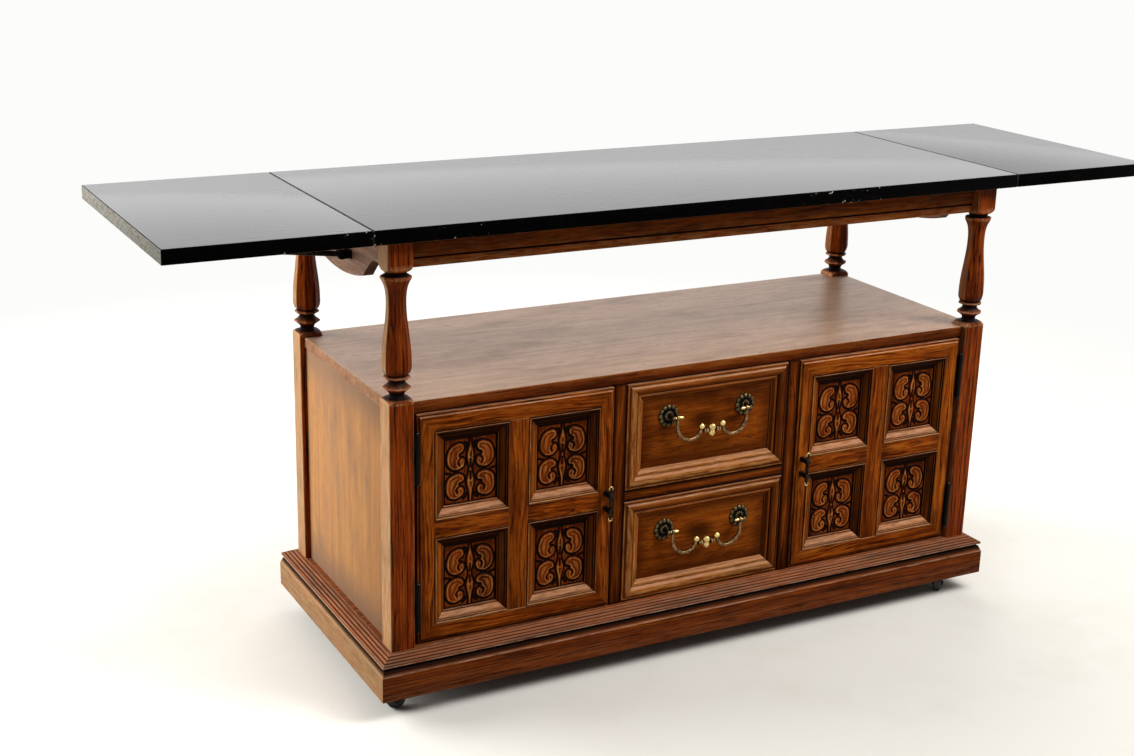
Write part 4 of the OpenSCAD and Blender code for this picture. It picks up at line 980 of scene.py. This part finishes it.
def rosette_pair(which):
    lo, hi = box("drawer_%s_rosettes" % which)
    field = hi[1]
    z = middle_of(lo, hi)[2]
    r = (hi[2] - lo[2]) / 2
    x = hi[0] - r
    bail_lo, bail_hi = box("bail_" + which)
    axis_y = middle_of(bail_lo, bail_hi)[1]
    petals = 12
    s = Shape()
    rings = [(1.0, 0.0), (1.0, 0.6), (0.985, 1.5), (0.93, 2.6), (0.82, 3.4), (0.70, 3.2), (0.58, 2.4),
             (0.50, 1.9), (0.44, 2.6), (0.36, 3.8), (0.28, 4.6), (0.20, 4.3), (0.12, 4.6), (0.02, 5.0)]
    ring_tone = [-1, -0.6, 0.2, 0.7, 0.8, 0.2, -0.6, -1, -0.4, 0.5, 0.8, -0.2, 0.3, 0.6]
    seg = petals * 8
    for sign in (-1, 1):
        rows = []
        tones = []
        for share, height in rings:
            for k in range(seg):
                a = 2 * math.pi * k / seg
                lobe = abs(math.cos(petals * a / 2))
                leaf = 1 - 0.09 * (1 - lobe) ** 2 * (share > 0.6)
                dip = (1 - lobe) ** 3 * (1.6 if share > 0.55 else 0.8)
                rr = r * share * leaf
                y = field - max(height - dip, 0) * MM
                rows.append((sign * x + rr * math.cos(a), y, z + rr * math.sin(a)))
                tones.append(ring_tone[rings.index((share, height))] - 1.6 * (1 - lobe) ** 2)
        *walls, _, cap = closed_rings(len(rings), seg)
        s.add(rows, [(a, d, c, b) for a, b, c, d in walls] + [cap[::-1]], tone=tones)
        at = (sign * x, axis_y, z)
        reach = field - axis_y
        stem = mm((4.4, -4.0), (4.2, -6)) + (0, reach)
        knob = mm((3.2, 4), (3.6, 1.5), (3.9, 0), (3.2, -2.4), (1.4, -3.7))
        revolve(s, np.concatenate([stem, knob]), at, axis="Y", seg=20,
                tone=(0, 0, 0.2, 0.6, 0.8, 0.8, 0.8))
        horn = [(2.2, 0), (2.3, 6), (2.5, 12), (2.6, 16), (2.3, 18.4), (1.2, 19.4)]
        revolve(s, mm(*horn) * (1, -sign), at, axis="X", seg=16, tone=(0.6, 0.8, 1, 1, 1, 1), slot=1)
    build("rosettes_" + which, s, [BRASS_DARK, BRIGHT_BRASS], "drawer_" + which,
          ["drawer_%s_rosettes" % which], crease=50)


def bail_pull(which):
    lo, hi = box("bail_" + which)
    y = middle_of(lo, hi)[1]
    eye_x = hi[0] - 2.5 * MM
    rod = 2.8 * MM
    low = lo[2] + rod
    z = hi[2] - 5.2 * MM
    r_out = 27 * MM
    r_in = 20.5 * MM
    arc_x = eye_x - r_out
    s = Shape()
    for sign in (-1, 1):
        path = [(sign * eye_x, y, z - 2 * MM), (sign * eye_x, y, low + r_out + 2 * MM)]
        radii = [2.3 * MM, 2.6 * MM]
        for i in range(13):
            a = math.radians(90 * i / 12)
            path.append((sign * (arc_x + r_out * math.cos(a)), y, low + r_out - r_out * math.sin(a)))
            radii.append((2.8 + 0.9 * math.sin(math.radians(15 * i))) * MM)
        for i in range(1, 11):
            a = math.radians(90 * i / 10)
            path.append((sign * (arc_x - r_in * math.sin(a)), y, low + r_in - r_in * math.cos(a)))
            radii.append((3.6 - 1.0 * i / 10) * MM)
        tube(s, path, radii, seg=20, tone=0.15, outline=lambda a: 1 + 0.04 * math.cos(4 * a))
        ball(s, (sign * (arc_x - r_in), y, low + r_in + 0.6 * MM), 5.8 * MM, tone=0.8, slot=1)
        eye = mm((2.6, -2.5), (4.6, -2.4), (5.2, -1), (5.2, 1), (4.6, 2.4), (2.6, 2.5))
        revolve(s, eye, (sign * eye_x, y, z), axis="X", seg=24, tone=[0.2] * 6)
    cross_z = low + 13 * MM
    for sign in (-1, 1):
        beads = [(2.4, 16.5), (4.2, 15.6), (4.9, 14.4), (4.0, 13.2), (2.6, 12.6), (3.4, 11.8), (5.0, 11.0),
                 (5.6, 10), (5.0, 9.0), (3.2, 8.2), (2.6, 7.4), (3.4, 6.6), (4.2, 5.6)]
        tones = (0, .3, .7, .3, -.6, .1, .6, .9, .5, -.5, -.6, 0, .4)
        revolve(s, mm(*beads) * (1, sign), (0, y, cross_z), axis="X", seg=20, tone=tones)
    for up, rz, rx in ((4.2, 7.0, 7.2), (-5.0, 7.6, 6.2)):
        rings = 10
        arc = [math.pi * (i / (rings - 1) - 0.5) for i in range(rings)]
        profile = [(max(rx * math.cos(a), 0.2) * MM, rz * math.sin(a) * MM) for a in arc]
        revolve(s, profile, (0, y, cross_z + up * MM), seg=16, slot=1, tone=[0.7] * rings,
                outline=lambda a, row: 1 + 0.07 * math.cos(4 * a))
    bail = "bail_" + which
    build("bail_pull_" + which, s, [BRASS, BRIGHT_BRASS], bail, [bail], crease=55)


# Door handles and hinges

def door_handle(side):
    body = "door_" + side
    lo, hi = box(body + "_handle")
    x, _, z = middle_of(lo, hi)
    y = lo[1] + 4 * MM
    half = (hi[2] - lo[2]) / 2 - 4 * MM
    post_z = 13.5 * MM
    door_y = box(body + "_frame")[0][1]
    s = Shape()
    shaft = [(3.0, -half / MM), (2.6, -22), (2.9, -19.5), (3.5, -17), (3.0, -15), (2.5, -11), (2.7, -6),
             (3.1, 0)]
    full = shaft + [(r, -a) for r, a in reversed(shaft[:-1])]
    bands = [0.2, 0, 0.5, 0.8, 0.5, 0, 0, 0.2]
    revolve(s, mm(*full), (x, y, z), seg=20, tone=bands + bands[-2::-1])
    for sign in (-1, 1):
        end = z + sign * half
        for k in range(16):
            a = 2 * math.pi * k / 16
            b = 2 * math.pi * (k + 1) / 16
            arc = (a, (a + b) / 2, b)
            pts = [(x + 3.1 * MM * math.cos(t), y - 0.4 * MM, end + 3.1 * MM * math.sin(t)) for t in arc]
            tube(s, pts, 1.15 * MM, seg=10, tone=0.6, slot=1)
        rose = mm((2.9, 2.0), (2.9, -0.4), (1.4, -0.1), (0.3, 0.3))
        revolve(s, rose, (x, y, end), axis="Y", seg=16, tone=(0, 0.3, -0.6, -0.8), slot=1)
        pz = z + sign * post_z
        stalk = (3.5, 3.5, y + 2.0 * MM, door_y - 1.4 * MM, 0.5, 0.0)
        foot = (4.4, 4.4, door_y - 1.6 * MM, door_y + 0.2 * MM, 0.4, 0.3)
        head = (4.0, 3.9, y - 3.9 * MM, y + 2.6 * MM, 0.7, 0.2)
        for wide, high, near, far, edge, tone in (stalk, foot, head):
            low = (x - wide * MM, near, pz - high * MM)
            board(s, low, (x + wide * MM, far, pz + high * MM), edge=edge * MM, tone=tone)
    build("handle_" + side, s, [IRON, BRIGHT_BRASS], body, [body + "_handle"], crease=45)


def stay_brackets():
    """Ears, pin and plate of each stay bracket, with the plate no higher than the ears."""
    s = Shape()
    for lo, hi in solids("stay_brackets"):
        sign = 1 if lo[0] > 0 else -1
        _, y, z = middle_of(lo, hi)
        ear = 7 * MM
        thick = 2.5 * MM
        pin = 3 * MM
        pin_past = 1 * MM
        half = (hi[1] - lo[1]) / 2 - 6 * MM
        plate_half = half + 4 * MM
        foot = sign * min(abs(lo[0]), abs(hi[0]))
        axis = foot + sign * 14 * MM
        plate = sorted((foot, foot + sign * 2 * MM))
        board(s, (plate[0], y - plate_half, z - ear), (plate[1], y + plate_half, z + ear))
        web = sorted((foot, axis))
        for end in (-1, 1):
            inner, outer = sorted((y + end * half, y + end * (half - thick)))
            board(s, (web[0], inner, z - ear), (web[1], outer, z + ear))
            revolve(s, [(ear, inner), (ear, outer)], (axis, 0, z), axis="Y", seg=28)
        revolve(s, [(pin, -half - pin_past), (pin, half + pin_past)], (axis, y, z), axis="Y", seg=20)
    build("stay_bracket_ears", s, [BLACK_IRON], "cabinet", ["stay_brackets"])


# Axis of the door hinges: distance from the middle of the cabinet, and place in depth
HINGE_X = 534.5 * MM
HINGE_Y = -223.9 * MM


def hinge_dressing():
    """Ball finials on the pins of the door hinges."""
    s = Shape()
    radius = 3.0 * MM
    for lo, hi in solids("post_hinge_halves"):
        x = HINGE_X if lo[0] > 0 else -HINGE_X
        for z in (lo[2] + radius, hi[2] - radius):
            ball(s, (x, HINGE_Y, z), radius, tone=0.8)
    build("hinge_finials", s, [NICKEL], "cabinet", crease=60)


# Frames, panels and boards

def boards(name, source, material, along=None):
    s = Shape()
    for lo, hi in solids(source):
        board(s, lo, hi, along=along)
    build(name, s, [material], "cabinet", [source])


def polygon_slab(shape, outline, z0, z1):
    """Level slab with softened upper and lower edges from an outline that runs anticlockwise."""
    edge = 1.2 * MM
    p = np.array(outline, float)
    n = len(p)
    before = p - np.roll(p, 1, axis=0)
    after = np.roll(p, -1, axis=0) - p
    before /= np.linalg.norm(before, axis=1)[:, None]
    after /= np.linalg.norm(after, axis=1)[:, None]
    inward = np.stack([-before[:, 1], before[:, 0]], 1) + np.stack([-after[:, 1], after[:, 0]], 1)
    inward /= (1 + (before * after).sum(1))[:, None]
    loops = []
    # The upper arris gets a pale tone: painted highlight, partly wear.
    levels = ((z0, 1.0, 0), (z0 + 0.3 * edge, 0.3, 0), (z0 + edge, 0.0, 0), (z1 - edge, 0.0, 0.2),
              (z1 - 0.3 * edge, 0.3, 0.9), (z1, 1.0, 0.9), (z1, 4.0, 0.0))
    for z, inset, tone in levels:
        loops.append((np.column_stack([p + inward * inset * edge, np.full(n, z)]), tone))
    co = np.concatenate([l[0] for l in loops])
    tone = np.concatenate([np.full(n, l[1]) for l in loops])
    *walls, under, over = closed_rings(len(loops), n)
    faces = walls + [over, under]
    shape.add(co, faces, co + grain_shift(), tone=tone)
    run = np.abs(np.roll(p, -1, axis=0) - p)
    bands = [1 if along_x else 2 for along_x in run[:, 0] > run[:, 1]] * (len(loops) - 2)
    shape.slots[-len(faces):] = bands + [0] * (len(faces) - len(bands))


def shelf():
    lo, hi = box("cabinet_top")
    post_lo, _ = box("post_front_right")
    back_lo, _ = box("post_back_right")
    px = post_lo[0] + 1 * MM
    py = back_lo[1] + 1 * MM
    outline = [(-px, lo[1]), (px, lo[1]), (px, -py), (hi[0], -py), (hi[0], py), (px, py), (px, hi[1]),
               (-px, hi[1]), (-px, py), (lo[0], py), (lo[0], -py), (-px, -py)]
    s = Shape()
    polygon_slab(s, outline, lo[2], hi[2])
    build("shelf_board", s, [SHELF_OAK, BAND_OAK, END_OAK], "cabinet", ["cabinet_top"])


def ring_sweep(shape, half_x, half_y, profile, tones):
    """Four mitred level runs; profile points are (inward, height)."""
    points = np.array(profile, float)
    n = len(points)
    arc = arc_length(points)
    for side in range(4):
        sx = ((-1, 1), (1, 1), (1, -1), (-1, -1))[side]
        sy = ((-1, -1), (-1, 1), (1, 1), (1, -1))[side]
        ends = [np.column_stack([sx[e] * (half_x - points[:, 0]), sy[e] * (half_y - points[:, 0]),
                                 points[:, 1]]) for e in (0, 1)]
        co = np.concatenate(ends)
        faces = [(i, n + i, n + i + 1, i + 1) for i in range(n - 1)]
        run = co[:, 0] if side % 2 == 0 else co[:, 1]
        wood = np.stack([run, np.tile(arc, 2), np.tile(points[:, 0], 2)], 1) + grain_shift()
        half_len = half_x if side % 2 == 0 else half_y
        shape.add(co, faces, wood, lengthwise(run), (half_len, NO_EDGE, NO_EDGE), np.tile(tones, 2))


def base():
    lo, hi = box("plinth_boards")
    s = Shape()
    low, top = lo[2], hi[2]
    foot = mm((20, 0), (1, 0), (0.3, 0.3), (0, 1)) + (0, low)
    bevel = mm((0, -11.6), (0.15, -10.8), (0.6, -10), (1.4, -8), (2.6, -5), (4.6, -0.8), (5.6, 0),
               (20, 0)) + (0, top)
    # Painted shade on the bevel's upper part under the moulding, painted highlight on its lower arris,
    # partly wear.
    tones = (0, 0.1, 0.3, 0.1, 0, 0.5, 0.7, 0.0, -0.8, -1, -1, -1, 0)
    ring_sweep(s, hi[0], hi[1], np.concatenate([foot, bevel, foot[:1]]), tones)
    build("plinth_runs", s, [BASE_OAK], "cabinet", ["plinth_boards"])
    m = Shape()
    mlo, mhi = box("base_moulding")
    z0 = mlo[2] + 4 * MM
    z1 = mhi[2]
    span_in = hi[0] - box("base_panel")[1][0]
    profile = [(span_in, mlo[2]), (12 * MM, mlo[2]), (12 * MM, z0), (2.8 * MM, z0),
               (1.7 * MM, z0 + 0.5 * MM), (1.5 * MM, z0 + 1.4 * MM), (1.9 * MM, z0 + 2.4 * MM)]
    # Painted shade in the groove under the moulding and between the reeds, painted highlights on their
    # crests, partly wear.
    tones = [-1, -1, -1, -0.4, 0.7, 0.9, 0.6]
    a = np.array([2.0 * MM, z0 + 2.6 * MM])
    b = np.array([span_in - 3 * MM, z1 - 0.3 * MM])
    normal = np.array([-(b - a)[1], (b - a)[0]]) / np.linalg.norm(b - a)
    reeds = 4
    for i in range(reeds):
        for k in range(7):
            t = (k + 0.35) / 6.7
            p = a + (b - a) * (i + t) / reeds + normal * math.sin(math.pi * t) * 1.2 * MM
            profile.append(tuple(p))
            tones.append(-0.95 if k in (0, 6) else 0.55 if k == 3 else 0.15)
    profile += [(span_in - 2.4 * MM, z1), (span_in, z1)]
    tones += [0.3, 0.0]
    ring_sweep(m, hi[0], hi[1], profile, tones)
    build("reeded_moulding", m, [BASE_OAK], "cabinet", ["base_moulding"])
    boards("base_board", "base_panel", BASE_OAK, along=0)


def apron_rails():
    s = Shape()
    for lo, hi in solids("apron_rails"):
        facing = -1 if lo[1] < 0 else 1
        if facing > 0:
            board(s, lo, hi, along=0)
            continue
        y = lo[1]
        z = lo[2]
        face = mm((1.5, 0), (0.4, 0.5), (0, 1.6), (0, 10.6), (0.5, 11.8), (1.8, 12.6), (3.2, 13.0),
                  (3.2, 15.4), (0.8, 15.8), (0.5, 16.6)) + (y, z)
        profile = [(hi[1], z), *face, (y + 0.5 * MM, hi[2]), (hi[1], hi[2])]
        # Painted shade in the groove, painted highlights on the rounds, partly wear.
        tones = (0, 0, 0.6, 0.5, 0.3, 0.6, -0.2, -1, -1, 0.1, 0.3, 0, 0)
        n = len(profile)
        co = np.array([(x, py, pz) for x in (lo[0], hi[0]) for py, pz in profile])
        faces = [(n + i, n + i + 1, i + 1, i) for i in range(n - 1)]
        wood = co[:, [0, 2, 1]] + grain_shift()
        s.add(co, faces, wood, lengthwise(co[:, 0]), (hi[0], NO_EDGE, NO_EDGE), np.tile(tones, 2))
    build("apron_boards", s, [RAIL_OAK], "cabinet", ["apron_rails"])


def end_aprons():
    s = Shape()
    for lo, hi in solids("end_aprons"):
        half = hi[1]
        top = hi[2]
        step_z = top - 45 * MM
        low = lo[2]
        cove_z = low + 13 * MM
        step = 34 * MM
        cove = 47 * MM
        belly = half - step - cove
        edge = [(half, step_z)]
        edge += [(half - step + 1 * MM, step_z), (half - step, step_z - 0.4 * MM)]
        for i in range(1, 15):
            t = i / 14
            edge.append((half - step - cove * t, step_z - (step_z - cove_z) * t ** 1.35))
        for i in range(13, -1, -1):
            t = i / 14
            edge.append((belly * t, low + (cove_z - low) * t * t))
        outline = [(half, top)] + edge + [(-a, b) for a, b in reversed(edge[:-1])] + [(-half, top)]
        p = np.array(outline)
        n = len(p)
        xs = (lo[0], hi[0])
        co = np.array([(x, a, b) for x in xs for a, b in p])
        faces = [tuple(range(n)), tuple(reversed(range(n, 2 * n)))]
        faces += [(k, n + k, n + (k + 1) % n, (k + 1) % n) for k in range(n)]
        # The cut edges are painted darker, as shade.
        for part, tone in ((faces[:2], 0), (faces[2:], -0.6)):
            s.add(co, part, co[:, [1, 2, 0]] + grain_shift(), tone=tone)
    build("end_apron_boards", s, [WINDOW_LIT_APRON_OAK], "cabinet", ["end_aprons"], crease=30)


def side_panels():
    """The left panel is painted pale, standing for the light of the window on it; the right one keeps its
    brown.
    """
    s = Shape()
    for lo, hi in solids("side_panels"):
        board(s, lo, hi, along=2, slot=0 if lo[0] < 0 else 1)
    build("side_boards", s, [WINDOW_LIT_OAK, SIDE_OAK], "cabinet", ["side_panels"])


def cabinet():
    shelf()
    base()
    apron_rails()
    end_aprons()
    for where in CORNERS:
        post("post_" + where)
    side_panels()
    boards("back_board", "back_panel", INNER_WOOD, along=0)
    boards("stile_boards", "front_stiles", STILE_OAK, along=2)
    boards("rail_board", "drawer_rail", STILE_OAK, along=0)
    for name in ("plinth_blocks", "partitions", "stop_rails", "drawer_runners", "inner_shelves"):
        boards(name + "_boards", name, INNER_WOOD)


def paint(names, material):
    """Gives carried-over CAD nodes a material."""
    for name in names:
        data = nodes[name].data
        data.materials.clear()
        data.materials.append(material)


def hardware():
    stay_brackets()
    paint(["top_hinge_halves", "leaf_left_hardware", "leaf_right_hardware", "stay_left",
           "stay_right"], IRON)
    paint(["post_hinge_halves", "door_left_hinges", "door_right_hinges"], BLACK_IRON)
    paint(["shelf_pins"], BRASS)
    paint(["caster_plates", "door_catches"] + ["caster_fork_" + c for c in CORNERS], STEEL)
    paint(["caster_wheel_" + c for c in CORNERS], RUBBER)
    hinge_dressing()


# Stage

def floor_material():
    s = Shader("studio_floor")
    v = s.object_place()
    scuff = s.noise(v, 2.2, 6.0, 0.7)
    speck = s.noise(v, 60.0, 3.0, 0.8)
    colour = s.mix(s.span(scuff, 0.45, 0.75, 0.0, 0.6), linear("#e2dfd7"), linear("#d6d1c6"))
    colour = s.mix(s.span(speck, 0.68, 0.74, 0.0, 0.35), colour, linear("#b9b2a5"))
    far = s.span(s.vector("LENGTH", v), 1.1, 2.6)
    glow = s.tree.nodes.new("ShaderNodeEmission")
    glow.inputs["Color"].default_value = linear("#fcfcfa")
    seen = s.seen()
    s.set(Base_Color=s.mix(seen, linear("#8f8a82"), colour), Roughness=0.75, Specular_IOR_Level=0.2)
    blend = s.tree.nodes.new("ShaderNodeMixShader")
    s.put(blend.inputs[0], s.times(far, seen))
    s.tree.links.new(s.surface.outputs[0], blend.inputs[1])
    s.tree.links.new(glow.outputs[0], blend.inputs[2])
    s.tree.links.new(blend.outputs[0], s.out.inputs[0])
    return s.material


def stage():
    size = 14.0
    mesh = bpy.data.meshes.new("floor")
    corners = [(-size, -size, 0), (size, -size, 0), (size, size, 0), (-size, size, 0)]
    mesh.from_pydata(corners, [], [(0, 1, 2, 3)])
    mesh.materials.append(floor_material())
    floor = bpy.data.objects.new("floor", mesh)
    bpy.context.scene.collection.objects.link(floor)


def lamp(name, place, target, width, height, power, mirrored=True):
    data = bpy.data.lights.new(name, "AREA")
    data.shape = "RECTANGLE"
    data.size = width
    data.size_y = height
    data.energy = power
    obj = bpy.data.objects.new(name, data)
    obj.location = place
    obj.rotation_euler = (Vector(target) - Vector(place)).to_track_quat("-Z", "Y").to_euler()
    obj.visible_glossy = mirrored
    bpy.context.scene.collection.objects.link(obj)


def lights():
    world = bpy.data.worlds.new("studio")
    world.use_nodes = True
    sky = Nodes(world.node_tree)
    out = sky.tree.nodes.new("ShaderNodeOutputWorld")
    back = sky.tree.nodes.new("ShaderNodeBackground")
    fill = 0.12
    sky.put(back.inputs["Strength"], sky.span(sky.seen(), 0.0, 1.0, fill, 1.0, smooth=False))
    sky.put(back.inputs["Color"], linear("#fdfdfd"))
    sky.put(out.inputs[0], back.outputs[0])
    bpy.context.scene.world = world
    lamp("window", (-2.8, 1.9, 1.5), (0, 0, 0.4), 2.6, 2.2, 210, mirrored=False)
    lamp("wall", (0.9, 3.2, 1.9), (0.1, 0, 0.5), 5.0, 2.0, 130, mirrored=False)
    lamp("ceiling", (0.9, -1.5, 3.3), (0.1, -0.2, 0.3), 2.2, 2.2, 65)
    lamp("softbox", (1.9, -1.9, 2.9), (0.1, -0.2, 0.3), 1.5, 1.3, 80)


def camera():
    data = bpy.data.cameras.new("camera")
    data.lens = CAMERA_LENS
    data.sensor_width = 36
    data.clip_end = 60
    obj = bpy.data.objects.new("camera", data)
    az, down, roll = CAMERA_AZIMUTH, CAMERA_DOWN, CAMERA_ROLL
    forward = Vector((math.sin(az) * math.cos(down), math.cos(az) * math.cos(down), -math.sin(down)))
    level = Vector((math.cos(az), -math.sin(az), 0))
    up = level.cross(forward)
    right = level * math.cos(roll) + up * math.sin(roll)
    above = up * math.cos(roll) - level * math.sin(roll)
    turn = Matrix((right, above, -forward)).transposed()
    obj.matrix_world = Matrix.Translation(CAMERA_PLACE) @ turn.to_4x4()
    bpy.context.scene.collection.objects.link(obj)
    bpy.context.scene.camera = obj


cabinet()
top_board("centre_top", "cabinet")
for side_name in SIDES:
    top_board("leaf_" + side_name, "leaf_" + side_name)
    door(side_name)
    door_handle(side_name)
for drawer_name in ("upper", "lower"):
    drawer(drawer_name)
hardware()
stage()
lights()
camera()
bpy.context.scene.view_settings.view_transform = "Standard"
